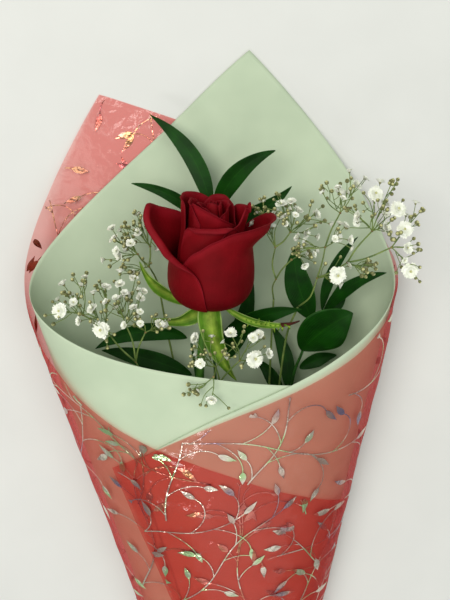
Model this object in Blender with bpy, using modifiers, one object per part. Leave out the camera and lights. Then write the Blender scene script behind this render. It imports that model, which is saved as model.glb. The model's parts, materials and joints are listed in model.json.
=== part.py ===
"""A single red rose bouquet in a rolled paper and film wrap, lying on its back.

The bouquet lies along Y with its flowers at +Y, X to the right and Z up. The working frame below is
in millimetres. Its origin is under the rose, and one parent empty moves everything so that the
bounding box stands centred on the object's own origin. Both wraps are true cones: a flat sheet's
point at angle psi and distance rho from the apex goes to the same distance along the cone.
"""

import math

import bmesh
import bpy
import numpy as np
from mathutils import Vector

MM = 0.001
GAP = 0.3  # clearance that touching pieces keep

# ---- the rolled cone (millimetres and degrees) ----
APEX = np.array([16.0, -456.0, 1.25])
CONE_YAW = math.radians(2.9)  # the cone leans this far to -X
HALF_WIDTH_SLOPE = 0.226  # half-width of the oval per millimetre of length
HEIGHT_SLOPE = 0.205  # height of the oval per millimetre of length
FLAT_ANGLE = 0.42  # half-angle of the oval's flat underside, in radians of its own parameter
WAIST_AT = 108.0  # distance of the tied waist from the apex
WAIST_SPREAD = 26.0
WAIST_PINCH = 0.46
TAIL_LIFT = 4.6  # how far the waist and tail stand off the surface

# ---- the sheets ----
PAPER_THICKNESS = 0.5
FILM_THICKNESS = 0.4
FLAP_STEP = 1.1  # how far a sheet's upper flap stands outside its lower flap
FLAP_RAMP = (6.0, 12.5)  # angles over which the sheet climbs on to its own lower flap
FILM_CLEARANCE = 2.3  # film outside the base oval, at the front
FILM_UNDERSIDE = 0.85  # the same under the bouquet
FILM_WAIST_SLACK = 1.6  # and this much round the gathered waist
FILM_BULGE = 2.4  # the film stands this much further off along both sides
# Rim of each sheet as (angle, distance from the apex), from the upper corner outwards on each side.
PAPER_LEFT_RIM = [(2.7, 589), (-3.5, 539), (-12.4, 488), (-22.3, 446), (-35.0, 423), (-46.0, 420)]
PAPER_RIGHT_RIM = [(2.7, 589), (9.3, 522), (14.5, 473), (21.9, 434), (31.7, 400), (38.0, 376)]
PAPER_LOWER_CORNER = 30.0
FILM_LEFT_RIM = [(-6.1, 571), (-12.8, 495), (-20.7, 408), (-32.0, 363), (-42.7, 336), (-46.5, 330)]
FILM_RIGHT_RIM = [(-6.1, 571), (-2.1, 553), (10.0, 503), (20.2, 436), (32.6, 395), (40.3, 371)]
FILM_LOWER_CORNER = 58.0
SHEET_CELLS = 22  # cells along each side of a sheet

# ---- the rose ----
ROSE_BASE = np.array([-9.0, -8.0, 46.0])
ROSE_AXIS = np.array([0.045, 0.975, 0.215])
PETAL_THICKNESS = 0.45

# ---- stems, bound round the rose's stem at the waist ----
WAIST_CENTRE_HEIGHT = 10.0  # above the cone's underside
SLOT_RADIUS = 5.5
CUT_END_AT = 26.0  # distance of the cut ends from the apex
ROSE_STEM_RADIUS = 3.0
TWIG_RADIUS = 1.4
SPRAY_RADIUS = 0.95
LARGE_FLOWER = 4.05  # flowers over this radius get the finer ball

COLLECTION_NAME = "single_rose_bouquet"


# ---------------------------------------------------------------- scene and materials


def clear_scene():
    for item in list(bpy.data.objects):
        bpy.data.objects.remove(item, do_unlink=True)


def make_material(name, colour, roughness, metallic=0.0):
    material = bpy.data.materials.new(name)
    material.use_nodes = True
    shader = material.node_tree.nodes["Principled BSDF"]
    shader.inputs["Base Color"].default_value = (*colour, 1.0)
    shader.inputs["Roughness"].default_value = roughness
    shader.inputs["Metallic"].default_value = metallic
    return material


class Studio:
    """Collects the bouquet's objects under one parent empty."""

    def __init__(self):
        self.collection = bpy.data.collections.new(COLLECTION_NAME)
        bpy.context.scene.collection.children.link(self.collection)
        self.root = bpy.data.objects.new("bouquet_root", None)
        self.collection.objects.link(self.root)

    def add(self, name, data, material):
        item = bpy.data.objects.new(name, data)
        data.materials.append(material)
        self.collection.objects.link(item)
        item.parent = self.root
        return item

    def centre_on_origin(self):
        """Moves the root so that the evaluated bounding box stands centred on the origin."""
        bpy.context.view_layer.update()
        graph = bpy.context.evaluated_depsgraph_get()
        corners = []
        for item in self.collection.objects:
            if item.type != "EMPTY":
                evaluated = item.evaluated_get(graph)
                mesh = evaluated.to_mesh()
                points = np.empty(len(mesh.vertices) * 3, np.float32)
                mesh.vertices.foreach_get("co", points)
                world = np.array(evaluated.matrix_world)
                points = points.reshape(-1, 3) @ world[:3, :3].T + world[:3, 3]
                corners.append(points.min(axis=0))
                corners.append(points.max(axis=0))
                evaluated.to_mesh_clear()
        low = np.min(corners, axis=0)
        high = np.max(corners, axis=0)
        middle = (low + high) / 2
        self.root.location = (-middle[0], -middle[1], -low[2])


# ---------------------------------------------------------------- shared geometry


def unit(vector):
    vector = np.asarray(vector, float)
    return vector / np.linalg.norm(vector)


def smoothstep(low, high, value):
    t = np.clip((value - low) / (high - low), 0.0, 1.0)
    return t * t * (3.0 - 2.0 * t)


def through(knots, count):
    """A smooth curve through the knots, as count points: a Catmull-Rom spline."""
    knots = np.asarray(knots, float)
    padded = np.vstack([2 * knots[0] - knots[1], knots, 2 * knots[-1] - knots[-2]])
    out = []
    for at in np.linspace(0, len(knots) - 1, count):
        i = min(int(at), len(knots) - 2)
        t = at - i
        a, b, c, d = padded[i : i + 4]
        squared = (2 * a - 5 * b + 4 * c - d) * t**2
        cubed = (3 * b - a - 3 * c + d) * t**3
        out.append(0.5 * (2 * b + (c - a) * t + squared + cubed))
    return np.array(out)


def shaped_grid(name, rule, across, along, thickness, offset):
    """A grid primitive whose points are moved by rule(u, v), with u and v from 0 to 1, then made solid."""
    shape = bmesh.new()
    bmesh.ops.create_grid(shape, x_segments=across, y_segments=along, size=0.5)
    for vertex in shape.verts:
        vertex.co = Vector(rule(vertex.co.x + 0.5, vertex.co.y + 0.5)) * MM
    mesh = bpy.data.meshes.new(name)
    shape.to_mesh(mesh)
    shape.free()
    mesh.shade_smooth()
    return mesh, {"thickness": thickness * MM, "offset": offset}


def add_shell(studio, name, shell, material):
    mesh, settings = shell
    item = studio.add(name, mesh, material)
    solidify = item.modifiers.new("thickness", "SOLIDIFY")
    solidify.thickness = settings["thickness"]
    solidify.offset = settings["offset"]
    return item


def add_tube(studio, name, knots, radius, count, material, tip_radius=None):
    """A round stem through the knots, tapering to tip_radius."""
    curve = bpy.data.curves.new(name, "CURVE")
    curve.dimensions = "3D"
    curve.bevel_depth = radius * MM
    curve.bevel_resolution = 1
    curve.use_fill_caps = True
    points = through(knots, count)
    spline = curve.splines.new("POLY")
    spline.points.add(count - 1)
    ends = (1.0, (tip_radius or radius) / radius)
    for i, (point, target) in enumerate(zip(points, spline.points)):
        target.co = (*(point * MM), 1.0)
        target.radius = ends[0] + (ends[1] - ends[0]) * i / (count - 1)
    return studio.add(name, curve, material)


# ---------------------------------------------------------------- the cone


class Cone:
    """The rolled cone: turns a sheet's flat polar coordinates into a place on the oval cone."""

    def __init__(self):
        self.theta = np.linspace(-2 * math.pi, 2 * math.pi, 4001)
        x, z = self.section(self.theta)
        rays = np.stack([x, np.ones_like(x), z], axis=1)
        rays /= np.linalg.norm(rays, axis=1, keepdims=True)
        steps = np.arccos(np.clip((rays[1:] * rays[:-1]).sum(axis=1), -1, 1))
        turned = np.concatenate([[0], np.cumsum(steps)])
        self.psi = np.degrees(turned - turned[2000])
        self.full_turn = float(np.interp(2 * math.pi, self.theta, self.psi))

    @staticmethod
    def section(theta):
        """The oval per unit of length: flat below, round above. Theta is 0 below and pi on top."""
        sine = np.sin(theta)
        x = HALF_WIDTH_SLOPE * np.sign(sine) * np.abs(sine) ** 0.92
        flat = 0.5 - 0.5 * math.cos(FLAT_ANGLE)
        rise = np.clip((0.5 - 0.5 * np.cos(theta) - flat) / (1 - flat), 0, 1)
        return x, HEIGHT_SLOPE * rise**1.2

    @staticmethod
    def half_width(d):
        pinched = HALF_WIDTH_SLOPE * d * (1 - WAIST_PINCH * math.exp(-(((d - WAIST_AT) / WAIST_SPREAD) ** 2)))
        tail = 13.2 + 3.5 * (1 - math.exp(-(((WAIST_AT - d) / 32) ** 2)))
        return pinched if d > WAIST_AT else tail

    @staticmethod
    def height(d):
        return max(HEIGHT_SLOPE * d * (1 - 0.1 * math.exp(-(((d - WAIST_AT) / WAIST_SPREAD) ** 2))), 20.0)

    def lift(self, d):
        return TAIL_LIFT * (1 - float(smoothstep(150, 260, d)))

    def location(self, psi):
        """The angle wrapped to one turn, 0 below and half a turn on top."""
        return (psi + self.full_turn / 2) % self.full_turn - self.full_turn / 2

    def place(self, psi, rho, offset=0.0):
        """World place of the sheet's point (psi, rho), moved out of the oval by offset."""
        theta = float(np.interp(psi, self.psi, self.theta))
        x, z = self.section(theta)
        d = rho / math.sqrt(1 + x * x + z * z)
        # In the tail the oval is longer than the cone's own, so the sheet covers less of it.
        cover = 1.2 * d * (HALF_WIDTH_SLOPE + HEIGHT_SLOPE / 2) / (self.half_width(d) + self.height(d) / 2)
        return self.on_oval(theta * min(1.0, cover), d, offset)

    def on_oval(self, theta, d, offset):
        """World place on the oval at distance d along the cone, moved out of it by offset."""
        wide, high = self.half_width(d), self.height(d)
        stretch = np.array([wide / HALF_WIDTH_SLOPE, high / HEIGHT_SLOPE])
        spot = np.array(self.section(theta)) * stretch
        tangent = (np.array(self.section(theta + 0.01)) - np.array(self.section(theta - 0.01))) * stretch
        normal = unit((tangent[1], -tangent[0]))
        across, up = spot + normal * offset
        return self.to_world(across, d, up + self.lift(d))

    @staticmethod
    def to_world(across, d, up):
        cosine, sine = math.cos(CONE_YAW), math.sin(CONE_YAW)
        return APEX + np.array([cosine * across - sine * d, sine * across + cosine * d, up])


class Sheet:
    """A four-sided sheet rolled on the cone, its left flap under and its right flap over."""

    def __init__(self, cone, left_rim, right_rim, lower_corner, offset_rule):
        self.cone = cone
        self.left = self.flat_curve(left_rim)
        self.right = self.flat_curve(right_rim)
        self.low = np.array([0.0, lower_corner])
        self.offset_rule = offset_rule

    @staticmethod
    def flat_curve(rim, count=61):
        knots = through([(a, r) for a, r in rim], count)
        angles = np.radians(knots[:, 0])
        points = np.stack([knots[:, 1] * np.sin(angles), knots[:, 1] * np.cos(angles)], axis=1)
        lengths = np.concatenate([[0], np.cumsum(np.linalg.norm(np.diff(points, axis=0), axis=1))])
        return points, lengths / lengths[-1]

    @staticmethod
    def along(curve, t):
        points, stations = curve
        return np.array([np.interp(t, stations, points[:, 0]), np.interp(t, stations, points[:, 1])])

    def flat(self, u, v):
        """The flat sheet's point: u runs from the upper corner down the right rim, v down the left rim."""
        right_end, left_end = self.right[0][-1], self.left[0][-1]
        top = self.left[0][0]
        rim_u, rim_v = self.along(self.right, u), self.along(self.left, v)
        side_u = left_end + (self.low - left_end) * u
        side_v = right_end + (self.low - right_end) * v
        ruled = (1 - v) * rim_u + v * side_u + (1 - u) * rim_v + u * side_v
        upper = (1 - v) * ((1 - u) * top + u * right_end)
        corners = upper + v * ((1 - u) * left_end + u * self.low)
        return ruled - corners

    def place(self, u, v):
        x, y = self.flat(u, v)
        psi = math.degrees(math.atan2(x, y))
        rho = math.hypot(x, y)
        return self.cone.place(psi, rho, self.offset_rule(self.cone, psi, rho))


def flap_level(psi):
    return float(smoothstep(*FLAP_RAMP, psi))


def paper_offset(cone, psi, rho):
    return FLAP_STEP * flap_level(psi)


def film_offset(cone, psi, rho):
    where = abs(cone.location(psi))
    bulge = FILM_BULGE * math.exp(-(((where - 15.5) / 5.0) ** 2))
    base = FILM_UNDERSIDE + (FILM_CLEARANCE - FILM_UNDERSIDE) * float(smoothstep(6.0, 10.0, where))
    slack = FILM_WAIST_SLACK * (1 - float(smoothstep(130.0, 190.0, rho)))
    return base + bulge + slack + FLAP_STEP * flap_level(psi)


def build_wraps(studio, cone, looks):
    paper = Sheet(cone, PAPER_LEFT_RIM, PAPER_RIGHT_RIM, PAPER_LOWER_CORNER, paper_offset)
    film = Sheet(cone, FILM_LEFT_RIM, FILM_RIGHT_RIM, FILM_LOWER_CORNER, film_offset)
    for name, sheet, thickness, look in (
        ("paper_sheet", paper, PAPER_THICKNESS, "paper"),
        ("film_sheet", film, FILM_THICKNESS, "film"),
    ):
        shell = shaped_grid(name, sheet.place, SHEET_CELLS, SHEET_CELLS, thickness, 1)
        add_shell(studio, name, shell, looks[look])


# ---------------------------------------------------------------- ties


def add_sleeve(studio, name, place, width, thickness, material, segments=40):
    """A short closed band: place(angle, along) gives its inner surface."""
    shape = bmesh.new()
    ring = bmesh.ops.create_circle(shape, segments=segments, radius=1.0)["verts"]
    edges = list({edge for vertex in ring for edge in vertex.link_edges})
    grown = bmesh.ops.extrude_edge_only(shape, edges=edges)["geom"]
    for vertex in grown:
        if isinstance(vertex, bmesh.types.BMVert):
            vertex.co.z += 1.0
    for vertex in shape.verts:
        angle = math.atan2(vertex.co.x, -vertex.co.y)
        vertex.co = Vector(place(angle, (vertex.co.z - 0.5) * width)) * MM
    bmesh.ops.recalc_face_normals(shape, faces=shape.faces)
    mesh = bpy.data.meshes.new(name)
    shape.to_mesh(mesh)
    shape.free()
    mesh.shade_smooth()
    item = studio.add(name, mesh, material)
    solidify = item.modifiers.new("thickness", "SOLIDIFY")
    solidify.thickness = thickness * MM
    solidify.offset = 1
    return item


def build_ties(studio, cone, looks):
    wrapped = FILM_CLEARANCE + FILM_BULGE + FILM_WAIST_SLACK + FLAP_STEP + FILM_THICKNESS + 2 * GAP
    under = FILM_UNDERSIDE + FILM_WAIST_SLACK + FILM_THICKNESS + 2 * GAP

    def ribbon_place(angle, along):
        offset = under + (wrapped - under) * float(smoothstep(0.45, 1.1, abs(angle)))
        return cone.on_oval(angle, WAIST_AT + along, offset)

    add_sleeve(studio, "waist_ribbon", ribbon_place, 16.0, 0.6, looks["ribbon"])

    def band_place(angle, along):
        reach = SLOT_RADIUS + TWIG_RADIUS + GAP
        up = WAIST_CENTRE_HEIGHT - reach * math.cos(angle) + cone.lift(WAIST_AT)
        return cone.to_world(reach * math.sin(angle), WAIST_AT + along, up)

    add_sleeve(studio, "stem_band", band_place, 8.0, 0.9, looks["band"], segments=24)


# ---------------------------------------------------------------- stems


class Stems:
    """Slots for the stems round the rose's stem, and a route from each slot to its spray."""

    def __init__(self, cone):
        self.cone = cone

    def slot(self, angle, d):
        """Place of a stem in the bundle. Angle is None for the rose in the middle, else degrees from +X."""
        reach = 0.0 if angle is None else SLOT_RADIUS
        turn = math.radians(angle or 0.0)
        up = WAIST_CENTRE_HEIGHT + reach * math.sin(turn) + self.cone.lift(d)
        return self.cone.to_world(reach * math.cos(turn), d, up)

    def route(self, angle, free):
        bound = [self.slot(angle, d) for d in (CUT_END_AT, 66.0, WAIST_AT, 122.0)]
        return bound + [np.array(point, float) for point in free]


ROSE_ROUTE = [(2, -235, 22), (-8, -150, 32), (-14.5, -70, 40), (-13, -30, 43.5), (-9.4, -13.6, 45)]
TWIGS = {
    "back": (-90, [(5, -235, 9), (-2, -130, 11), (-7, -40, 16), (-9, 38, 20)]),
    "right": (-45, [(23, -240, 12), (32, -150, 16), (40, -66, 24), (46, -40, 29), (54, -18, 29)]),
    "left": (-135, [(0, -240, 12), (-8, -150, 17), (-17, -62, 23), (-20, -36, 26)]),
}


def build_stems(studio, stems, looks):
    add_tube(studio, "rose_stem", stems.route(None, ROSE_ROUTE), ROSE_STEM_RADIUS, 22, looks["stem"], 2.4)
    for name, (angle, free) in TWIGS.items():
        add_tube(studio, f"ruscus_twig_{name}", stems.route(angle, free), TWIG_RADIUS, 18, looks["twig"], 0.8)


# ---------------------------------------------------------------- leaves and sepals


def blade(base, tip, bow, width, tilt=0.0, fold=0.12, fullness=0.8):
    """A rule for a leaf: base and tip, the mid-rib's bow away from the straight line, and its width.

    Tilt turns the blade about its mid-rib, in degrees, and fold lifts its edges by that share of
    its half-width. Fullness below 1 puts the widest part nearer to the base.
    """
    base, tip, bow = (np.asarray(value, float) for value in (base, tip, bow))

    def rule(u, v):
        middle = (base + tip) / 2 + bow * 2
        point = (1 - v) ** 2 * base + 2 * v * (1 - v) * middle + v**2 * tip
        forward = unit(2 * (1 - v) * (middle - base) + 2 * v * (tip - middle))
        side = unit(np.cross(forward, (0, 0, 1)))
        up = np.cross(side, forward)
        turn = math.radians(tilt)
        side, up = side * math.cos(turn) + up * math.sin(turn), up * math.cos(turn) - side * math.sin(turn)
        half = 0.5 * width * max(math.sin(math.pi * v**fullness), 0.0) ** 0.85 + 0.35
        across = 2 * u - 1
        return point + side * across * half + up * abs(across) * half * fold

    return rule


# name: (base, tip, bow, width, tilt)
RUSCUS_LEAVES = {
    "leaf_back_tall": ((-8.6, 43, 22), (-43, 97, 12), (7, 4, 3), 10.5, 10),
    "leaf_back_right": ((-5.5, 41, 23), (28, 79, 34), (-5, 5, 1), 11.5, -12),
    "leaf_back_left": ((-13.5, 37, 22), (-53, 60, 29), (3, 4, 2), 7.5, 20),
    "leaf_back_low": ((-4.5, 36, 20), (38, 58, 26), (2, -4, 0), 9.5, -16),
    "leaf_under_bud": ((-4, -40, 18), (44, -11, 40), (-3, 6, 3), 12.5, -14),
    "leaf_behind_bud": ((-3, -52, 15), (16, 4, 17), (4, -3, 0), 11.0, 10),
    "leaf_right_upright": ((51.5, -15, 31), (40, 23, 36), (-3, 0, -1), 14.5, 12),
    "leaf_right_thin": ((57, -14.5, 30), (75, 31, 38), (-4, 3, 0), 8.0, -30),
    "leaf_right_outer": ((58.5, -17, 29), (90, 13, 50), (-3, 5, 1), 8.5, -14),
    "leaf_right_dark": ((57.5, -19.5, 26), (69, 3, 22), (3, -2, -1), 9.5, 0),
    "leaf_right_broad": ((46.5, -37, 33), (72, -14, 44), (1, 2, 3), 22.0, -8),
    "leaf_right_inner": ((38, -67, 21), (28, -28, 12), (4, 0, 0), 9.0, 10),
    "leaf_right_low": ((45, -52, 25), (67, -44, 24), (0, 2, 1), 9.0, -10),
    "leaf_right_under": ((35, -76, 20), (18, -50, 12), (2, 3, 0), 9.0, 20),
    "leaf_left_long": ((-22.5, -32, 28), (-75, -34, 42), (0, 7, 0), 11.0, 8),
    "leaf_left_lower": ((-20, -56, 26), (-74, -41, 24), (0, 3, 1), 12.0, 0),
}
SEPALS = {
    "sepal_upper_left": ((-18, -10, 42), (-48, 17, 44), (-4, -5, 0), 7.0, 30),
    "sepal_lower_left": ((-13.5, -11.5, 51), (-42, -17, 53), (2, -6, 1), 7.5, 20),
    "sepal_front": ((-7.5, -12, 54), (6, -46, 60), (-2, 0, 2), 11.5, -10),
    "sepal_right": ((0.5, -9.5, 50.5), (42, -14, 53), (0, -7, 1), 4.5, 10),
    "sepal_back": ((-8, -12, 38), (-2, -40, 30), (0, 0, -2), 8.0, 0),
}


def build_leaves(studio, looks):
    for name, (base, tip, bow, width, tilt) in RUSCUS_LEAVES.items():
        fullness = 0.95 if name == "leaf_right_broad" else 0.8
        shell = shaped_grid(name, blade(base, tip, bow, width, tilt, fullness=fullness), 2, 9, 0.5, 0)
        add_shell(studio, name, shell, looks["leaf"])
    for name, (base, tip, bow, width, tilt) in SEPALS.items():
        shell = shaped_grid(name, blade(base, tip, bow, width, tilt, fold=0.25, fullness=0.7), 2, 7, 0.6, 0)
        add_shell(studio, name, shell, looks["sepal"])


# ---------------------------------------------------------------- the rose head


class RoseFrame:
    """The head's own frame: height along the axis, angle 0 towards the viewer and 90 to the right."""

    def __init__(self):
        self.axis = unit(ROSE_AXIS)
        self.right = unit(np.cross(self.axis, (0, 0, 1)))
        self.front = np.cross(self.right, self.axis)

    def place(self, radius, angle, height):
        turn = math.radians(angle)
        outward = self.right * math.sin(turn) + self.front * math.cos(turn)
        return ROSE_BASE + self.axis * height + outward * radius


# Cup profiles of the layers as (radius, height), from the base to the rim of the tallest petal.
OUTER_CUP = [
    (6.5, 1.2), (12.5, 2.6), (18.5, 7), (22.6, 14), (23.6, 23), (22.7, 33), (21.2, 43), (20.4, 51), (20.2, 58),
]
MIDDLE_CUP = [
    (5, 3.2), (10, 5), (14.8, 9), (18, 16), (19.0, 24), (18.4, 34), (17.4, 44), (16.9, 52), (16.4, 60),
]
INNER_CUP = [
    (3.5, 5.2), (8, 7.4), (11.8, 12), (14.3, 19), (14.8, 28), (14.2, 38), (13.4, 48), (12.8, 55), (12.2, 62),
]
CORE_CUP = [
    (2.5, 7.5), (5.5, 10), (8.4, 15), (10.2, 22), (10.5, 32), (9.9, 42), (9.0, 50), (8.3, 56), (7.6, 61),
]

# name: (cup, middle angle, half-angle, rim heights across as shares of the cup, flare, flare angle)
PETALS = {
    "petal_outer_left": (OUTER_CUP, -80, 80, (0.62, 0.82, 0.99, 0.72, 0.42, 0.22), 17.0, -84),
    "petal_outer_right": (OUTER_CUP, 55, 80, (0.46, 0.60, 0.75, 0.90, 0.88, 0.66), 16.0, 84),
    "petal_outer_back": (OUTER_CUP, 170, 58, (0.60, 0.80, 0.90, 0.90, 0.80, 0.60), 3.0, 170),
    "petal_middle_front": (MIDDLE_CUP, -12, 66, (0.62, 0.74, 0.76, 0.76, 0.74, 0.66), 1.0, -10),
    "petal_middle_right": (MIDDLE_CUP, 108, 66, (0.66, 0.86, 0.95, 0.96, 0.90, 0.74), 2.0, 90),
    "petal_middle_left": (MIDDLE_CUP, -132, 68, (0.70, 0.92, 0.99, 1.00, 0.96, 0.70), 1.0, -110),
    "petal_inner_front": (INNER_CUP, 35, 70, (0.70, 0.86, 0.89, 0.89, 0.86, 0.74), 0.8, 35),
    "petal_inner_back": (INNER_CUP, 155, 70, (0.72, 0.94, 1.00, 1.00, 0.94, 0.74), 0.8, 155),
    "petal_inner_left": (INNER_CUP, -85, 70, (0.72, 0.92, 0.97, 0.97, 0.92, 0.74), 0.8, -85),
    "petal_core_right": (CORE_CUP, 100, 96, (0.80, 0.94, 0.98, 0.98, 0.94, 0.80), 0.5, 100),
    "petal_core_left": (CORE_CUP, -80, 96, (0.80, 0.93, 0.96, 0.96, 0.93, 0.80), 0.5, -80),
}
FLARE_DROP = 0.08  # a flared rim comes down by this share of its flare
SPIRAL_STEP = 0.75  # each petal's end edge lies this far outside its middle, its start edge inside


def profile_at(profile, at):
    """The profile's (radius, height) at a station, carried straight on past its last point."""
    last = len(profile) - 1
    if at > last:
        return profile[last] + (profile[last] - profile[last - 1]) * (at - last)
    low = min(int(at), last - 1)
    return profile[low] + (profile[low + 1] - profile[low]) * (at - low)


def petal_rule(frame, cup, middle, half, rims, flare, flare_angle):
    profile = through(cup, 41)
    rims = np.array(rims, float)

    def rule(u, v):
        across = 2 * u - 1
        share = v * float(np.interp(across, np.linspace(-1, 1, len(rims)), rims))
        at = share * 40
        place, ahead = (profile_at(profile, at + step) for step in (0, 0.5))
        slope = unit(ahead - place)
        radius, height = place + np.array([slope[1], -slope[0]]) * SPIRAL_STEP * across
        angle = middle + across * half
        lean = math.exp(-(((angle - flare_angle) / 34) ** 2)) * float(smoothstep(0.62, 1.0, v)) ** 1.5
        return frame.place(radius + flare * lean, angle, height - FLARE_DROP * flare * lean)

    return rule


def build_rose(studio, looks):
    frame = RoseFrame()
    for name, (cup, middle, half, rims, flare, flare_angle) in PETALS.items():
        rule = petal_rule(frame, cup, middle, half, rims, flare, flare_angle)
        add_shell(studio, name, shaped_grid(name, rule, 10, 8, PETAL_THICKNESS, 0), looks["petal"])
    heart = [(0, 9.8), (3.5, 11), (6.0, 16), (7.3, 24), (7.4, 36), (6.6, 48), (5.0, 56), (2.8, 59.5), (0, 60.5)]
    add_turned(studio, "rose_heart", frame, heart, looks["petal_heart"], 20)
    hip = [(0, -5.0), (3.2, -4.6), (5.6, -2.0), (5.4, 0.4), (3.0, 1.9), (1.6, 3.4), (0, 4.2)]
    add_turned(studio, "rose_hip", frame, hip, looks["sepal"], 16)


def add_turned(studio, name, frame, profile, material, steps):
    """A body turned about the head's axis from (radius, height) points."""
    mesh = bpy.data.meshes.new(name)
    points = [(radius * MM, 0.0, height * MM) for radius, height in reversed(profile)]
    mesh.from_pydata(points, [(i, i + 1) for i in range(len(points) - 1)], [])
    item = studio.add(name, mesh, material)
    screw = item.modifiers.new("turn", "SCREW")
    screw.steps = steps
    screw.render_steps = steps
    screw.use_merge_vertices = True
    screw.merge_threshold = 0.00001
    item.rotation_mode = "QUATERNION"
    item.rotation_quaternion = Vector((0, 0, 1)).rotation_difference(Vector(frame.axis))
    item.location = Vector(ROSE_BASE) * MM
    return item


# ---------------------------------------------------------------- baby's breath

# name: (slot angle, free route to the first fork, forks as (place, index of the fork below), flowers)
# A flower is (place, fork index, radius).
SPRAYS = {
    "gypsophila_left_back": (
        180,
        [(-5, -240, 14), (-16, -150, 15), (-28, -70, 16), (-35, -30, 18), (-39, 0, 25)],
        [((-44, 12, 30), -1), ((-50, 20, 33), 0), ((-43, 24, 31), 0)],
        [
            ((-63, 29, 35), 1, 3.2), ((-60, 20, 38), 1, 3.2), ((-56, 29, 30), 1, 2.8),
            ((-49, 33, 34), 2, 3.2), ((-41, 33, 34), 2, 2.6), ((-50, 42, 30), 2, 2.8), ((-52, 10, 36), 0, 2.6),
        ],
    ),
    "gypsophila_left": (
        135,
        [(-3, -240, 24), (-16, -150, 36), (-32, -85, 50), (-44, -52, 58)],
        [((-50, -36, 60), -1), ((-66, -16, 62), 0), ((-78, -8, 62), 1), ((-55, -14, 60), 0), ((-44, -18, 62), 0)],
        [
            ((-90, -4, 68), 2, 4.2), ((-84, 2, 58), 2, 2.8), ((-78, 7, 56), 2, 2.8), ((-72, -3, 68), 1, 3.4),
            ((-67, -13, 74), 1, 4.6), ((-66, 6, 55), 1, 3.0), ((-58, 8, 57), 3, 3.0), ((-50, 10, 50), 3, 2.6),
            ((-47, 0, 56), 3, 3.0), ((-36, -13, 64), 4, 3.2), ((-48, -8, 68), 4, 2.6), ((-59, -3, 64), 3, 2.6),
        ],
    ),
    "gypsophila_front": (
        90,
        [(4, -240, 26), (-3, -150, 41), (-5, -90, 55), (-4, -60, 65)],
        [((-3, -44, 71), -1), ((-5, -33, 77), 0), ((8, -30, 75), 0), ((-6, -34, 90), 1)],
        [
            ((-16, -17, 76), 1, 3.4), ((3, -13, 81), 2, 3.4), ((18, -15, 77), 2, 3.0), ((16, -26, 84), 2, 4.6),
            ((0, -24, 85), 1, 2.8), ((-7, -45, 94), 3, 3.2), ((-14, -40, 93), 3, 2.0), ((-14, -29, 84), 1, 2.0),
        ],
    ),
    "gypsophila_right": (
        45,
        [(20, -240, 22), (26, -150, 25), (31, -80, 28), (36, -32, 30), (42, -10, 38)],
        [
            ((51, 11, 54), -1), ((54, 30, 62), 0), ((66, 22, 64), 0), ((78, 40, 68), 2), ((88, 32, 72), 2),
            ((62, 48, 58), 1),
        ],
        [
            ((60, 17, 73), 0, 4.6), ((42, 30, 62), 1, 2.8), ((60, 36, 66), 1, 3.0), ((74, 19, 67), 2, 2.6),
            ((79, 60, 68), 3, 4.2), ((90, 53, 75), 3, 4.2), ((70, 48, 70), 3, 3.2), ((84, 43, 74), 3, 3.4),
            ((93, 43, 79), 4, 4.0), ((95, 33, 78), 4, 3.2), ((97, 21, 80), 4, 4.2), ((100, 52, 80), 4, 1.8),
            ((70, 63, 58), 5, 3.2), ((62, 58, 53), 5, 3.4), ((53, 58, 52), 5, 2.6), ((86, 65, 72), 3, 2.0),
        ],
    ),
    "gypsophila_right_inner": (
        0,
        [(21, -240, 17), (25, -150, 19), (26.5, -80, 21), (28, -30, 23), (28.5, -8, 28)],
        [((29, 7, 40), -1), ((28, 27, 47), 0), ((37, 20, 48), 0), ((36, 36, 50), 1)],
        [
            ((44, 36, 53), 3, 3.4), ((40, 48, 50), 3, 3.2), ((31, 51, 48), 3, 3.2), ((21, 52, 45), 1, 2.6),
            ((19, 45, 40), 1, 2.6), ((50, 46, 50), 3, 3.0), ((33, 42, 56), 3, 2.6), ((30, 45, 57), 1, 2.6),
            ((45, 24, 52), 2, 2.0),
        ],
    ),
}


def build_sprays(studio, stems, looks):
    helpers = bpy.data.collections.new("spray_branches")
    bpy.context.scene.collection.children.link(helpers)
    for name, (angle, free, forks, flowers) in SPRAYS.items():
        build_spray(studio, helpers, name, stems.route(angle, free), forks, flowers, looks["gypsophila"])


def add_rod(shape, start, end, radii):
    """A closed five-sided rod between two places, with its own radius at each end."""
    start, end = Vector(start) * MM, Vector(end) * MM
    turned = (end - start).to_track_quat("Z", "Y").to_matrix().to_4x4()
    turned.translation = (start + end) / 2
    bmesh.ops.create_cone(
        shape, cap_ends=True, segments=5, radius1=radii[0] * MM, radius2=radii[1] * MM,
        depth=(end - start).length, matrix=turned,
    )


def add_flower(shape, place, along, radius):
    """A double flower or a bud: a ball a little flattened along its stalk."""
    turned = Vector(along).to_track_quat("Z", "Y").to_matrix().to_4x4()
    turned.translation = Vector(place) * MM
    detail = 2 if radius > LARGE_FLOWER else 1
    ball = bmesh.ops.create_icosphere(shape, subdivisions=detail, radius=radius * MM, matrix=turned)["verts"]
    direction = Vector(along).normalized()
    for vertex in ball:
        outward = vertex.co - turned.translation
        vertex.co -= direction * outward.dot(direction) * 0.25


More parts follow.
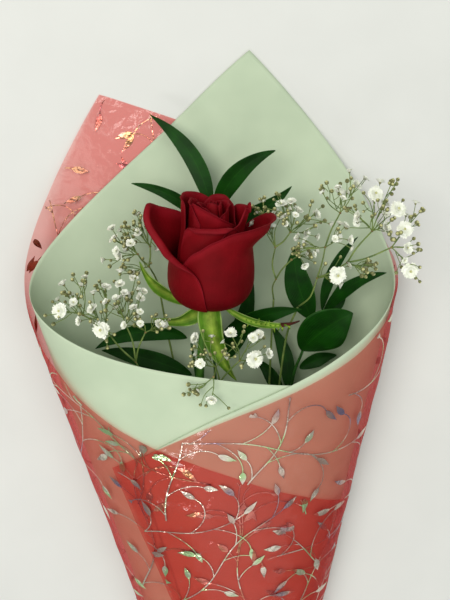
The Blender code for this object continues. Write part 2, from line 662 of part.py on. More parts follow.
def build_spray(studio, helpers, name, knots, forks, flowers, material):
    """A main stem, joined by a Boolean union with its branches, stalks and flowers."""
    main = add_tube(studio, name + "_stem", knots, SPRAY_RADIUS, 14, material, 0.7)
    bpy.context.view_layer.update()
    mesh = bpy.data.meshes.new_from_object(main.evaluated_get(bpy.context.evaluated_depsgraph_get()))
    bpy.data.objects.remove(main)
    welded = bmesh.new()
    welded.from_mesh(mesh)
    bmesh.ops.remove_doubles(welded, verts=welded.verts, dist=0.000001)
    bmesh.ops.recalc_face_normals(welded, faces=welded.faces)
    welded.to_mesh(mesh)
    welded.free()
    item = studio.add(name, mesh, material)

    branches = bmesh.new()
    tops = []
    for place, below in forks:
        start = np.array(knots[-1] if below < 0 else tops[below], float)
        place = np.array(place, float)
        step = unit(place - start) * 0.6
        add_rod(branches, start - step, place + step, (0.75, 0.6))
        tops.append(place)
    for place, fork, radius in flowers:
        place = np.array(place, float)
        along = unit(place - tops[fork])
        add_rod(branches, tops[fork] - along * 0.5, place, (0.5, 0.4))
        add_flower(branches, place, along, radius)
    cutter_mesh = bpy.data.meshes.new(name + "_branches")
    branches.to_mesh(cutter_mesh)
    branches.free()
    cutter = bpy.data.objects.new(name + "_branches", cutter_mesh)
    cutter.hide_render = True
    cutter.display_type = "WIRE"
    helpers.objects.link(cutter)
    cutter.parent = studio.root
    union = item.modifiers.new("branches", "BOOLEAN")
    union.operation = "UNION"
    union.solver = "EXACT"
    union.use_self = True
    union.object = cutter


# ---------------------------------------------------------------- the bouquet


def main():
    clear_scene()
    studio = Studio()
    looks = {
        "paper": make_material("white_wrap_paper", (0.86, 0.88, 0.82), 0.75),
        "film": make_material("red_printed_film", (0.72, 0.05, 0.03), 0.25),
        "ribbon": make_material("red_ribbon", (0.45, 0.01, 0.02), 0.45),
        "band": make_material("rubber_band", (0.30, 0.20, 0.10), 0.7),
        "stem": make_material("rose_stem_green", (0.10, 0.22, 0.05), 0.5),
        "twig": make_material("ruscus_stem_green", (0.06, 0.16, 0.04), 0.5),
        "leaf": make_material("ruscus_leaf_green", (0.02, 0.09, 0.02), 0.35),
        "sepal": make_material("sepal_green", (0.30, 0.45, 0.10), 0.6),
        "petal": make_material("rose_petal_red", (0.24, 0.005, 0.015), 0.6),
        "petal_heart": make_material("rose_heart_red", (0.20, 0.004, 0.012), 0.6),
        "gypsophila": make_material("gypsophila_white", (0.85, 0.87, 0.78), 0.7),
    }
    cone = Cone()
    stems = Stems(cone)
    build_wraps(studio, cone, looks)
    build_ties(studio, cone, looks)
    build_stems(studio, stems, looks)
    build_leaves(studio, looks)
    build_rose(studio, looks)
    build_sprays(studio, stems, looks)
    studio.centre_on_origin()


main()
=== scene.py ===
"""Looks of a single rose bouquet: a red rose with gypsophila and ruscus, rolled in paper and printed film.

Lengths are millimetres in the bouquet's working frame, whose origin lies under the rose with the
flowers at +Y, X to the right and Z up. ``SHIFT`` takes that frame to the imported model's own.
"""

import json
import logging
import math
from collections.abc import Callable
from dataclasses import dataclass, field
from enum import Enum

import bpy
import numpy as np
from mathutils import Matrix, Vector

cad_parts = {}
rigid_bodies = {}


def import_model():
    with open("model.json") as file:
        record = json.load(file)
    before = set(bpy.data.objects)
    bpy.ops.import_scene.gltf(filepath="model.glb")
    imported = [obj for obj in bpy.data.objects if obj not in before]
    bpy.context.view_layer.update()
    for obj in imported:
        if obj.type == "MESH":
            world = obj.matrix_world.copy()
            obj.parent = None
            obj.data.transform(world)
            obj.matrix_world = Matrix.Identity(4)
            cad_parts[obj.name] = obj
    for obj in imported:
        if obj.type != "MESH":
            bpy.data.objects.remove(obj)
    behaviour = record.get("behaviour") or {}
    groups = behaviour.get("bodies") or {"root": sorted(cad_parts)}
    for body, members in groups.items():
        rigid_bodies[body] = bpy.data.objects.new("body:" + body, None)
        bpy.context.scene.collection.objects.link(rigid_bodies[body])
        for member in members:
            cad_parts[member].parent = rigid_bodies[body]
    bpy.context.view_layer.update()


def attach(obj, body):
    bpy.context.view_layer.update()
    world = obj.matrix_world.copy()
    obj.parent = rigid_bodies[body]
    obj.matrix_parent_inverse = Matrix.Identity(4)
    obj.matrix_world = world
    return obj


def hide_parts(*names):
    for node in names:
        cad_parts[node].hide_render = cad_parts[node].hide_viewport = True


LOG = logging.getLogger("bouquet")
MM = 0.001
SHIFT = np.array([6.973, 148.682, 0.047])
Array = np.ndarray
Rng = np.random.Generator
Balls = list[tuple[Array, float]]
Node = bpy.types.Node
Socket = bpy.types.NodeSocket
Stops = tuple[tuple[float, str], ...]
Point = tuple[float, float, float]


# ---------------------------------------------------------------- colour and nodes


def linear(hex_colour: str) -> tuple[float, float, float, float]:
    """Turns an sRGB hex colour into linear RGBA.

    Args:
        hex_colour: Six hex digits after a hash sign.

    Returns:
        Linear red, green and blue, with alpha 1.
    """
    parts = [int(hex_colour[i : i + 2], 16) / 255 for i in (1, 3, 5)]
    red, green, blue = (p / 12.92 if p <= 0.04045 else ((p + 0.055) / 1.055) ** 2.4 for p in parts)
    return red, green, blue, 1.0


def add_node(
    tree: bpy.types.NodeTree, kind: str, inputs: dict, stops: Stops = (), **settings: object
) -> Node:
    """Adds a node with its settings and links.

    Args:
        tree: The node tree.
        kind: The node's type name after "ShaderNode", such as "Bump".
        inputs: Its inputs by name or number. A node or socket is linked, and any other value is set.
        stops: A colour ramp's stops, as places from 0 to 1 and hex colours.
        **settings: The node's own properties by name.

    Returns:
        The new node.
    """
    node = tree.nodes.new("ShaderNode" + kind)
    for name, value in settings.items():
        setattr(node, name, value)
    for name, value in inputs.items():
        if isinstance(value, Node):
            value = value.outputs[0]
        if isinstance(value, Socket):
            tree.links.new(value, node.inputs[name])
        else:
            node.inputs[name].default_value = value
    if stops:
        elements = node.color_ramp.elements
        while len(elements) < len(stops):
            elements.new(0.5)
        for element, (place, colour) in zip(elements, stops):
            element.position = place
            element.color = linear(colour)
    return node


# ---------------------------------------------------------------- finishes


@dataclass(frozen=True)
class Finish:
    """What one real finish is called. Each kind of finish adds its sizes, colours and shader."""

    name: str

    def build(self) -> bpy.types.Material:
        """Returns the finish's material, which is made where it is first used."""
        material = bpy.data.materials.get(self.name)
        if material:
            return material
        material = bpy.data.materials.new(self.name)
        material.use_nodes = True
        tree = material.node_tree
        tree.nodes.clear()
        place = add_node(tree, "TexCoord", {}).outputs
        shader = self.surface(tree, place["Object"], place["UV"])
        add_node(tree, "OutputMaterial", {"Surface": shader})
        return material

    def surface(self, tree: bpy.types.NodeTree, place: Socket, sheet: Socket) -> Node:
        """Adds the finish's nodes.

        Args:
            tree: The material's node tree.
            place: The surface's place in the piece's own frame, in metres.
            sheet: The surface's UV place.

        Returns:
            The shader's node.
        """
        raise NotImplementedError


@dataclass(frozen=True)
class WrapPaper(Finish):
    """Uncoated wood-free wrapping paper, calendered: matt, hardly mottled, faintly see-through."""

    name: str = "uncoated_wrap_paper"
    # Both colours are the paper's cream with a green tint that is painted bounce light from green
    # surroundings.
    colour: str = "#cddcc1"
    shade: str = "#c6d6bb"
    roughness: float = 0.78
    gloss: float = 0.25
    see_through: float = 0.14
    mottle_mm: float = 26.0
    fibre_mm: float = 1.3  # real fibres are a tenth of that: drawn coarser so that they show
    fibre_depth: float = 0.06

    def surface(self, tree: bpy.types.NodeTree, place: Socket, sheet: Socket) -> Node:
        """Mixes the paper's matt skin with the light that comes through it."""
        mottle = add_node(tree, "TexNoise", {"Vector": place, "Scale": 1000 / self.mottle_mm})
        colour = add_node(tree, "ValToRGB", {0: mottle}, ((0.35, self.shade), (0.65, self.colour)))
        fibre = add_node(tree, "TexNoise", {"Vector": place, "Scale": 1000 / self.fibre_mm})
        bump = add_node(tree, "Bump", {"Height": fibre, "Strength": self.fibre_depth, "Distance": 0.0002})
        look = {"Base Color": colour, "Roughness": self.roughness, "Specular IOR Level": self.gloss}
        front = add_node(tree, "BsdfPrincipled", look | {"Normal": bump})
        behind = add_node(tree, "BsdfTranslucent", {"Color": colour})
        return add_node(tree, "MixShader", {0: self.see_through, 1: front, 2: behind})


@dataclass(frozen=True)
class TintedFilm(Finish):
    """Cast polypropylene film, dyed red: clear, glossy, and it crinkles in broad soft facets.

    Its gloss follows the slant alike from both sides, as a film has the same air before and behind it.
    """

    name: str = "dyed_polypropylene_film"
    tint: str = "#fccbc8"  # what one layer lets by
    body: str = "#cc140b"
    body_share: float = 0.04
    lit_share: float = 0.6
    grazing_share: float = 1.1  # light that crosses the film at a slant meets more dye
    roughness: float = 0.12
    ior: float = 1.42
    edge_gloss: float = 0.25
    crinkle_mm: float = 17.0
    wrinkle_mm: float = 5.0

    def surface(self, tree: bpy.types.NodeTree, place: Socket, sheet: Socket) -> Node:
        """Lets tinted light by, shows more dye at a slant, and puts the crinkled gloss on top."""
        broad = {"Vector": place, "Scale": 1000 / self.crinkle_mm, "Detail": 1.0, "Distortion": 0.6}
        fine = {"Vector": place, "Scale": 1000 / self.wrinkle_mm, "Detail": 1.0, "Distortion": 1.0}
        height = add_node(tree, "TexNoise", broad)
        first = add_node(tree, "Bump", {"Height": height, "Strength": 0.45, "Distance": 0.003})
        height = add_node(tree, "TexNoise", fine)
        crinkled = {"Height": height, "Strength": 0.3, "Distance": 0.0012, "Normal": first}
        second = add_node(tree, "Bump", crinkled)
        clear = add_node(tree, "BsdfTransparent", {"Color": linear(self.tint)})
        dyed = add_node(tree, "BsdfTranslucent", {"Color": linear(self.body)})
        lit = add_node(tree, "BsdfDiffuse", {"Color": linear(self.body)})
        dye = add_node(tree, "MixShader", {0: self.lit_share, 1: dyed, 2: lit})
        slant = add_node(tree, "LayerWeight", {"Blend": 0.5}).outputs["Facing"]
        steep = add_node(tree, "Math", {0: slant, 1: 2.0}, operation="POWER")
        amounts = {0: steep, 1: self.grazing_share, 2: self.body_share}
        share = add_node(tree, "Math", amounts, operation="MULTIPLY_ADD", use_clamp=True)
        layer = add_node(tree, "MixShader", {0: share, 1: clear, 2: dye})
        gloss = add_node(tree, "BsdfGlossy", {"Roughness": self.roughness, "Normal": second})
        raised = add_node(tree, "Math", {0: slant, 1: 5.0}, operation="POWER")
        amounts = {0: raised, 1: self.edge_gloss, 2: ((self.ior - 1) / (self.ior + 1)) ** 2}
        edge = add_node(tree, "Math", amounts, operation="MULTIPLY_ADD")
        return add_node(tree, "MixShader", {0: edge, 1: layer, 2: gloss})


@dataclass(frozen=True)
class HotFoil(Finish):
    """Hot-stamped aluminium foil: silver, its colour painted with pink, green and grey reflections of the
    room.
    """

    name: str = "hot_stamped_foil"
    # The pale stop is the silver itself; the pink, green and grey stops are painted reflections of the room.
    stops: Stops = (
        (0.30, "#8b7c98"), (0.42, "#bd9c90"), (0.52, "#e2d8c8"), (0.60, "#b6d79c"), (0.70, "#c3a69e"),
    )
    roughness: float = 0.22
    # Size of the patches of painted reflection.
    painted_reflection_mm: float = 30.0
    crinkle_mm: float = 6.0

    def surface(self, tree: bpy.types.NodeTree, place: Socket, sheet: Socket) -> Node:
        """Gives bare metal a slow change of hue, painted reflections of the room, and a crinkle that throws
        the light about.
        """
        hue = add_node(tree, "TexNoise", {"Vector": place, "Scale": 1000 / self.painted_reflection_mm})
        colour = add_node(tree, "ValToRGB", {0: hue}, self.stops)
        creases = {"Vector": place, "Scale": 1000 / self.crinkle_mm, "Detail": 3.0}
        crinkle = add_node(tree, "TexNoise", creases)
        bump = add_node(tree, "Bump", {"Height": crinkle, "Strength": 0.55, "Distance": 0.0025})
        look = {"Base Color": colour, "Metallic": 1.0, "Roughness": self.roughness, "Normal": bump}
        return add_node(tree, "BsdfPrincipled", look)


@dataclass(frozen=True)
class VelvetPetal(Finish):
    """A living rose petal: tiny domed cells soak up light like velvet, with faint veins, painted shade
    towards its base and a painted highlight along its rim.

    UV runs across the petal in U and from its base to its rim in V.
    """

    name: str = "velvet_rose_petal"
    # Darker towards the base is painted shade deep in the bud; the lighter band near the rim is a painted
    # highlight on the rolled edges.
    stops: Stops = (
        (0.0, "#3c0209"), (0.4, "#66030c"), (0.88, "#73050f"), (0.955, "#85101c"), (1.0, "#7c111d"),
    )
    patches: Stops = ((0.3, "#dccccc"), (0.7, "#ffffff"))
    patch_mm: float = 1000 / 90
    roughness: float = 0.6
    gloss: float = 0.08
    sheen: float = 0.14
    sheen_tint: str = "#b81a26"
    veins: float = 34.0  # veins across one petal, about 2 mm apart
    cell_mm: float = 0.7  # the cells are a tenth of that: drawn coarser so that they show

    def surface(self, tree: bpy.types.NodeTree, place: Socket, sheet: Socket) -> Node:
        """Colours the petal from base to rim, darker at the base as painted shade and lighter at the rim as a
        painted highlight, with patches, veins and cells.
        """
        across = add_node(tree, "SeparateXYZ", {0: sheet})
        colour = add_node(tree, "ValToRGB", {0: across.outputs[1]}, self.stops)
        patch = add_node(tree, "TexNoise", {"Vector": place, "Scale": 1000 / self.patch_mm, "Detail": 3.0})
        shade = add_node(tree, "ValToRGB", {0: patch}, self.patches)
        mix = {"Factor": 1.0, 6: colour, 7: shade}
        tinted = add_node(tree, "Mix", mix, data_type="RGBA", blend_type="MULTIPLY").outputs[2]
        waves = add_node(tree, "Math", {0: across, 1: self.veins * 2 * math.pi}, operation="MULTIPLY")
        vein = add_node(tree, "Math", {0: waves}, operation="SINE")
        cells = add_node(tree, "TexNoise", {"Vector": place, "Scale": 1000 / self.cell_mm})
        veined = add_node(tree, "Bump", {"Height": vein, "Strength": 0.05, "Distance": 0.0002})
        domed = {"Height": cells, "Strength": 0.12, "Distance": 0.0003, "Normal": veined}
        bump = add_node(tree, "Bump", domed)
        look = {"Base Color": tinted, "Roughness": self.roughness, "Specular IOR Level": self.gloss}
        soft = {"Sheen Weight": self.sheen, "Sheen Roughness": 0.45, "Sheen Tint": linear(self.sheen_tint)}
        return add_node(tree, "BsdfPrincipled", look | soft | {"Normal": bump})


@dataclass(frozen=True)
class BladeFinish(Finish):
    """A leaf's waxy skin over parallel veins. UV runs across the blade in U and along it in V."""

    middle: str
    colour: str
    margin: str
    roughness: float
    coat: float
    veins: float = 9.0
    margin_width: float = 0.02
    middle_width: float = 0.035
    vein_depth: float = 0.35
    patch_mm: float = 9.0
    patches: Stops = ((0.3, "#b4b8ac"), (0.7, "#ffffff"))
    gloss: float = 0.16

    def surface(self, tree: bpy.types.NodeTree, place: Socket, sheet: Socket) -> Node:
        """Colours the blade from rib to margin, with patches and veins under a thin coat of wax."""
        across = add_node(tree, "SeparateXYZ", {0: sheet})
        side = add_node(tree, "Math", {0: across, 1: 0.5}, operation="SUBTRACT")
        away = add_node(tree, "Math", {0: side}, operation="ABSOLUTE")
        stops = (
            (0.0, self.middle), (self.middle_width, self.colour), (0.49 - self.margin_width, self.colour),
            (0.5 - self.margin_width / 2, self.margin),
        )
        base = add_node(tree, "ValToRGB", {0: away}, stops)
        patch = add_node(tree, "TexNoise", {"Vector": place, "Scale": 1000 / self.patch_mm, "Detail": 3.0})
        shade = add_node(tree, "ValToRGB", {0: patch}, self.patches)
        mix = {"Factor": 1.0, 6: base, 7: shade}
        tinted = add_node(tree, "Mix", mix, data_type="RGBA", blend_type="MULTIPLY").outputs[2]
        waves = add_node(tree, "Math", {0: away, 1: self.veins * 4 * math.pi}, operation="MULTIPLY")
        vein = add_node(tree, "Math", {0: waves}, operation="COSINE")
        bump = add_node(tree, "Bump", {"Height": vein, "Strength": self.vein_depth, "Distance": 0.0002})
        look = {"Base Color": tinted, "Roughness": self.roughness, "Specular IOR Level": self.gloss}
        wax = {"Coat Weight": self.coat, "Coat Roughness": 0.3}
        return add_node(tree, "BsdfPrincipled", look | wax | {"Normal": bump})


@dataclass(frozen=True)
class SkinFinish(Finish):
    """A plain opaque skin in two close colours, used for stems, buds, ribbon and rubber."""

    dark: str
    light: str
    roughness: float
    patch_mm: float = 4.0
    bump: float = 0.15
    sheen: float = 0.0
    stretch: Point = (1.0, 1.0, 1.0)

    def surface(self, tree: bpy.types.NodeTree, place: Socket, sheet: Socket) -> Node:
        """Mottles the skin, stretched along its grain."""
        grain = add_node(tree, "Mapping", {"Vector": place, "Scale": self.stretch})
        patch = add_node(tree, "TexNoise", {"Vector": grain, "Scale": 1000 / self.patch_mm, "Detail": 4.0})
        bump = add_node(tree, "Bump", {"Height": patch, "Strength": self.bump, "Distance": 0.0003})
        colour = add_node(tree, "ValToRGB", {0: patch}, ((0.32, self.dark), (0.68, self.light)))
        look = {"Base Color": colour, "Roughness": self.roughness, "Sheen Weight": self.sheen}
        return add_node(tree, "BsdfPrincipled", look | {"Normal": bump})


# Fresh broad leaf: dark under a thin wax that gives it a soft, wide shine
RUSCUS_LEAF = BladeFinish("waxy_ruscus_leaf", "#1c540a", "#104505", "#265a12", 0.48, 0.03)
# Downy sepal: pale at its hairy margin and rib, so it looks dusted
SEPAL = BladeFinish(
    "downy_rose_sepal", "#a3bf49", "#578718", "#a2be6a", 0.62, 0.0, 4.0, 0.05, 0.33, 0.25, 5.0
)
# Withered point of the narrow sepal: dull brown
SEPAL_TIP = BladeFinish("dry_sepal_tip", "#5b2a1c", "#4a1f16", "#3a1912", 0.7, 0.0, 3.0)
# Living bark of the stems, streaked along its length and a little shiny
ROSE_STEM = SkinFinish("green_rose_bark", "#2c5a16", "#4b7d26", 0.45, 3.0, 0.2, 0.0, (1, 0.25, 1))
RUSCUS_STEM = SkinFinish("green_ruscus_twig", "#17420f", "#2b5f1b", 0.42, 3.0, 0.2, 0.0, (1, 0.25, 1))
FINE_STEM = SkinFinish("gypsophila_stalk", "#4a6429", "#7b8f47", 0.55, 6.0, 0.1)
# Swollen joints, half dry: brown dots where the fine stalks fork
NODE_SKIN = SkinFinish("gypsophila_joint", "#5a4a26", "#8a7a44", 0.6, 2.0, 0.1)
# Thin white petals: matt, and crumpled enough to shade themselves
FLOWER_PETAL = SkinFinish("gypsophila_petal", "#e6ead8", "#fbfcf5", 0.75, 2.2, 0.25, 0.15)
# Packed inner petals: yellow-green, so that each bloom has a darker middle
FLOWER_HEART = SkinFinish("gypsophila_heart", "#a9aa6a", "#cfcd9c", 0.7, 1.5, 0.3)
# Closed calyx: olive and streaked, so that the buds read as dots against the paper
BUD_SKIN = SkinFinish("gypsophila_bud", "#3f4a20", "#93925e", 0.6, 0.9, 0.25)
# Woven polyester satin: the long floats across the ribbon give it its sheen
RIBBON = SkinFinish("polyester_satin_ribbon", "#6b0710", "#8c0a15", 0.34, 1.2, 0.1, 0.4, (1, 14, 1))
# Moulded natural rubber: tan and dull
RUBBER = SkinFinish("natural_rubber_band", "#a5793f", "#bd9155", 0.65, 5.0, 0.1)
# Laminate under soft light: even and nearly flat
TABLE_TOP = SkinFinish("pale_laminate_top", "#d7d8d6", "#dbdcda", 0.6, 60.0, 0.0)


# ---------------------------------------------------------------- mesh helpers


def unit(vector: Array) -> Array:
    """Returns the vector at length 1."""
    vector = np.asarray(vector, float)
    return vector / max(float(np.linalg.norm(vector)), 1e-12)


def smoothstep(low: float, high: float, value: Array | float) -> Array:
    """Returns 0 below low, 1 above high and a smooth ramp between."""
    t = np.clip((np.asarray(value, float) - low) / (high - low), 0.0, 1.0)
    return t * t * (3.0 - 2.0 * t)


def through(knots: Array, count: int) -> Array:
    """Runs a smooth Catmull-Rom curve through knots.

    Args:
        knots: Points in any number of dimensions.
        count: How many points to return.

    Returns:
        The curve's points.
    """
    knots = np.asarray(knots, float)
    padded = np.vstack([2 * knots[0] - knots[1], knots, 2 * knots[-1] - knots[-2]])
    stations = np.linspace(0, len(knots) - 1, count)
    first = np.minimum(stations.astype(int), len(knots) - 2)
    t = (stations - first)[:, None]
    a, b, c, d = (padded[first + i] for i in range(4))
    squared = (2 * a - 5 * b + 4 * c - d) * t**2
    cubed = (3 * b - a - 3 * c + d) * t**3
    return 0.5 * (2 * b + (c - a) * t + squared + cubed)


@dataclass
class Gatherer:
    """Collects surfaces into one mesh, in the working frame's millimetres."""

    points: list[Array] = field(default_factory=list)
    uvs: list[Array] = field(default_factory=list)
    faces: list[Array] = field(default_factory=list)
    slots: list[Array] = field(default_factory=list)
    count: int = 0

    def add(self, points: Array, faces: Array, uvs: Array, slot: int = 0) -> None:
        """Adds one surface.

        Args:
            points: N points.
            faces: Rows of four point numbers.
            uvs: N UV places.
            slot: The material slot's number.
        """
        self.points.append(points)
        self.uvs.append(uvs)
        self.faces.append(faces + self.count)
        self.slots.append(np.full(len(faces), slot))
        self.count += len(points)

    def add_grid(
        self, grid: Array, slot: int = 0, keep: Array | None = None, uvs: Array | None = None
    ) -> None:
        """Adds a grid of points as quads.

        Args:
            grid: Points as rows by columns by 3.
            slot: The material slot's number.
            keep: Which points are on the piece. Quads that use another are left out.
            uvs: UV places as rows by columns by 2, or None for 0 to 1 each way.
        """
        rows, columns = grid.shape[:2]
        number = np.arange(rows * columns).reshape(rows, columns)
        faces = np.stack([number[:-1, :-1], number[1:, :-1], number[1:, 1:], number[:-1, 1:]], axis=-1)
        faces = faces.reshape(-1, 4)
        if uvs is None:
            across, along = np.meshgrid(np.linspace(0, 1, rows), np.linspace(0, 1, columns), indexing="ij")
            uvs = np.stack([across, along], axis=-1)
        points, uvs = grid.reshape(-1, 3), uvs.reshape(-1, 2)
        if keep is not None:
            faces = faces[keep.reshape(-1)[faces].all(axis=1)]
            used, faces = np.unique(faces, return_inverse=True)
            points, uvs, faces = points[used], uvs[used], faces.reshape(-1, 4)
        if len(faces):
            self.add(points, faces, uvs, slot)

    def add_tube(self, line: Array, radii: Array, sides: int = 7, slot: int = 0) -> None:
        """Adds a round tube with closed ends.

        Args:
            line: The centreline's points.
            radii: The radius at each point.
            sides: How many sides the tube has.
            slot: The material slot's number.
        """
        line = np.asarray(line, float)
        forward = np.gradient(line, axis=0)
        forward /= np.maximum(np.linalg.norm(forward, axis=1, keepdims=True), 1e-9)
        rough = np.array([0.31, 0.17, 0.93]) if abs(forward[0][2]) < 0.8 else np.array([1.0, 0.1, 0.0])
        side = np.cross(forward, rough)
        side /= np.maximum(np.linalg.norm(side, axis=1, keepdims=True), 1e-9)
        up = np.cross(side, forward)
        turn = np.linspace(0, 2 * math.pi, sides + 1)
        ring = side[:, None] * np.cos(turn)[None, :, None] + up[:, None] * np.sin(turn)[None, :, None]
        grid = line[:, None] + ring * np.asarray(radii, float)[:, None, None]
        foot, top = (np.repeat(end[:, None], sides + 1, axis=1) for end in (line[:1], line[-1:]))
        self.add_grid(np.concatenate([foot, grid, top]), slot)

    def build(
        self, name: str, slot: str, nodes: list[str], finishes: list[Finish], thickness: float = 0.0,
        offset: float = 0.0,
    ) -> bpy.types.Object:
        """Makes the piece from what was collected and puts it on the bouquet's one body.

        Args:
            name: The piece's name.
            slot: Its slot in the model. Not used.
            nodes: The CAD nodes that it stands for.
            finishes: Its material slots' finishes.
            thickness: What an open surface is thickened by, in millimetres.
            offset: 0 for half of that on each side, 1 for all of it outside.

        Returns:
            The piece.
        """
        mesh = bpy.data.meshes.new(name)
        points = (np.vstack(self.points) + SHIFT) * MM
        mesh.from_pydata(points.tolist(), [], np.vstack(self.faces).tolist())
        layer = mesh.uv_layers.new(name="UVMap")
        corner = np.zeros(len(mesh.loops), np.int32)
        mesh.loops.foreach_get("vertex_index", corner)
        layer.data.foreach_set("uv", np.vstack(self.uvs)[corner].astype(np.float32).ravel())
        mesh.polygons.foreach_set("material_index", np.concatenate(self.slots).astype(np.int32))
        for finish in finishes:
            mesh.materials.append(finish.build())
        mesh.shade_smooth()
        mesh.validate()
        piece = bpy.data.objects.new(name, mesh)
        bpy.context.scene.collection.objects.link(piece)
        weld = piece.modifiers.new("weld", "WELD")
        weld.merge_threshold = 0.002 * MM
        if thickness:
            solidify = piece.modifiers.new("thickness", "SOLIDIFY")
            solidify.thickness = thickness * MM
            solidify.offset = offset
        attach(piece, "root")
        if nodes:
            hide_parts(*nodes)
        LOG.info("%s: %d faces", piece.name, len(piece.data.polygons))
        return piece


# ---------------------------------------------------------------- the wrap


@dataclass
class Cone:
    """The rolled cone that both sheets lie on, an oval that is flat below and narrow at its tied waist."""

    apex: Point = (16.0, -456.0, 1.25)
    yaw: float = math.radians(2.9)
    half_width_slope: float = 0.226
    height_slope: float = 0.205
    flat_angle: float = 0.42
    waist_at: float = 108.0
    waist_spread: float = 26.0
    waist_pinch: float = 0.46
    tail_lift: float = 4.6
    pleats: int = 23
    pleat_depth: float = 0.75
    pleat_reach: float = 46.0
    width_power: float = 0.92
    height_power: float = 1.2
    tail_half_width: float = 13.2
    tail_flare: float = 3.5
    tail_reach: float = 32.0
    least_height: float = 20.0
    lift_from: float = 150.0
    lift_to: float = 260.0

    def __post_init__(self) -> None:
        """Measures how far round the cone each angle of the oval has turned."""
        self.theta = np.linspace(-2 * math.pi, 2 * math.pi, 4001)
        x, z = self.section(self.theta)
        rays = np.stack([x, np.ones_like(x), z], axis=1)
        rays /= np.linalg.norm(rays, axis=1, keepdims=True)
        steps = np.arccos(np.clip((rays[1:] * rays[:-1]).sum(axis=1), -1, 1))
        turned = np.concatenate([[0], np.cumsum(steps)])
        self.psi = np.degrees(turned - turned[2000])
        self.full_turn = float(np.interp(2 * math.pi, self.theta, self.psi))

    def section(self, theta: Array) -> tuple[Array, Array]:
        """Gives the oval's outline for a unit of length along the cone.

        Args:
            theta: The angle round the oval, 0 below and pi on top.

        Returns:
            The outline's x and z.
        """
        sine = np.sin(theta)
        x = self.half_width_slope * np.sign(sine) * np.abs(sine) ** self.width_power
        flat = 0.5 - 0.5 * math.cos(self.flat_angle)
        rise = np.clip((0.5 - 0.5 * np.cos(theta) - flat) / (1 - flat), 0, 1)
        return x, self.height_slope * rise**self.height_power

    def half_width(self, d: Array) -> Array:
        """Works out how wide the oval is.

        Args:
            d: The distance along the cone from its apex.

        Returns:
            The half-width, drawn in at the waist.
        """
        pinch = 1 - self.waist_pinch * np.exp(-(((d - self.waist_at) / self.waist_spread) ** 2))
        behind = np.exp(-(((self.waist_at - d) / self.tail_reach) ** 2))
        tail = self.tail_half_width + self.tail_flare * (1 - behind)
        return np.where(d > self.waist_at, self.half_width_slope * d * pinch, tail)

    def height(self, d: Array) -> Array:
        """Returns the oval's height at distance d from the apex."""
        pinch = 1 - 0.1 * np.exp(-(((d - self.waist_at) / self.waist_spread) ** 2))
        return np.maximum(self.height_slope * d * pinch, self.least_height)

    def lift(self, d: Array) -> Array:
        """Returns how far the waist and tail stand off the surface."""
        return self.tail_lift * (1 - smoothstep(self.lift_from, self.lift_to, d))

    def location(self, psi: Array) -> Array:
        """Returns the angle wrapped to one turn, 0 below and half a turn on top."""
        return (psi + self.full_turn / 2) % self.full_turn - self.full_turn / 2

    def place(self, psi: Array, rho: Array, offset: Array) -> Array:
        """Rolls flat sheet points on to the cone.

        Args:
            psi: Each point's angle on the flat sheet, in degrees.
            rho: Its distance from the apex.
            offset: How far it stands outside the oval.

        Returns:
            The points in the working frame.
        """
        theta = np.interp(psi, self.psi, self.theta)
        x, z = self.section(theta)
        d = rho / np.sqrt(1 + x * x + z * z)
        girth = self.half_width(d) + self.height(d) / 2
        cover = 1.2 * d * (self.half_width_slope + self.height_slope / 2) / girth
        return self.on_oval(theta * np.minimum(1.0, cover), d, offset)

    def on_oval(self, theta: Array, d: Array, offset: Array, pleated: float = 1.0) -> Array:
        """Finds points on and outside the oval.

        Args:
            theta: Each point's angle round the oval.
            d: Its distance along the cone.
            offset: How far it stands outside the oval.
            pleated: How much of the waist's pleats it follows, from 0 to 1.

        Returns:
            The points in the working frame.
        """
        gathered = pleated * np.exp(-(((d - self.waist_at) / self.pleat_reach) ** 2))
        gathered = gathered * smoothstep(0.5, 1.2, np.abs(theta))  # the floor side stays flat
        offset = offset + self.pleat_depth * gathered * np.sin(self.pleats * theta)
        wide = self.half_width(d) / self.half_width_slope
        high = self.height(d) / self.height_slope
        x, z = self.section(theta)
        after, before = self.section(theta + 0.01), self.section(theta - 0.01)
        across = (after[0] - before[0]) * wide
        rise = (after[1] - before[1]) * high
        length = np.hypot(across, rise)
        up = z * high - across / length * offset + self.lift(d)
        return self.to_world(x * wide + rise / length * offset, d, up)

    def to_world(self, across: Array, d: Array, up: Array) -> Array:
        """Turns the cone's own coordinates into the working frame's.

        Args:
            across: Millimetres to the right of the cone's middle.
            d: The distance along the cone.
            up: The height above the apex.

        Returns:
            The points in the working frame.
        """
        cosine, sine = math.cos(self.yaw), math.sin(self.yaw)
        across, d, up = np.broadcast_arrays(across, d, up)
        moved = np.stack([cosine * across - sine * d, sine * across + cosine * d, up], axis=-1)
        return moved + np.array(self.apex)


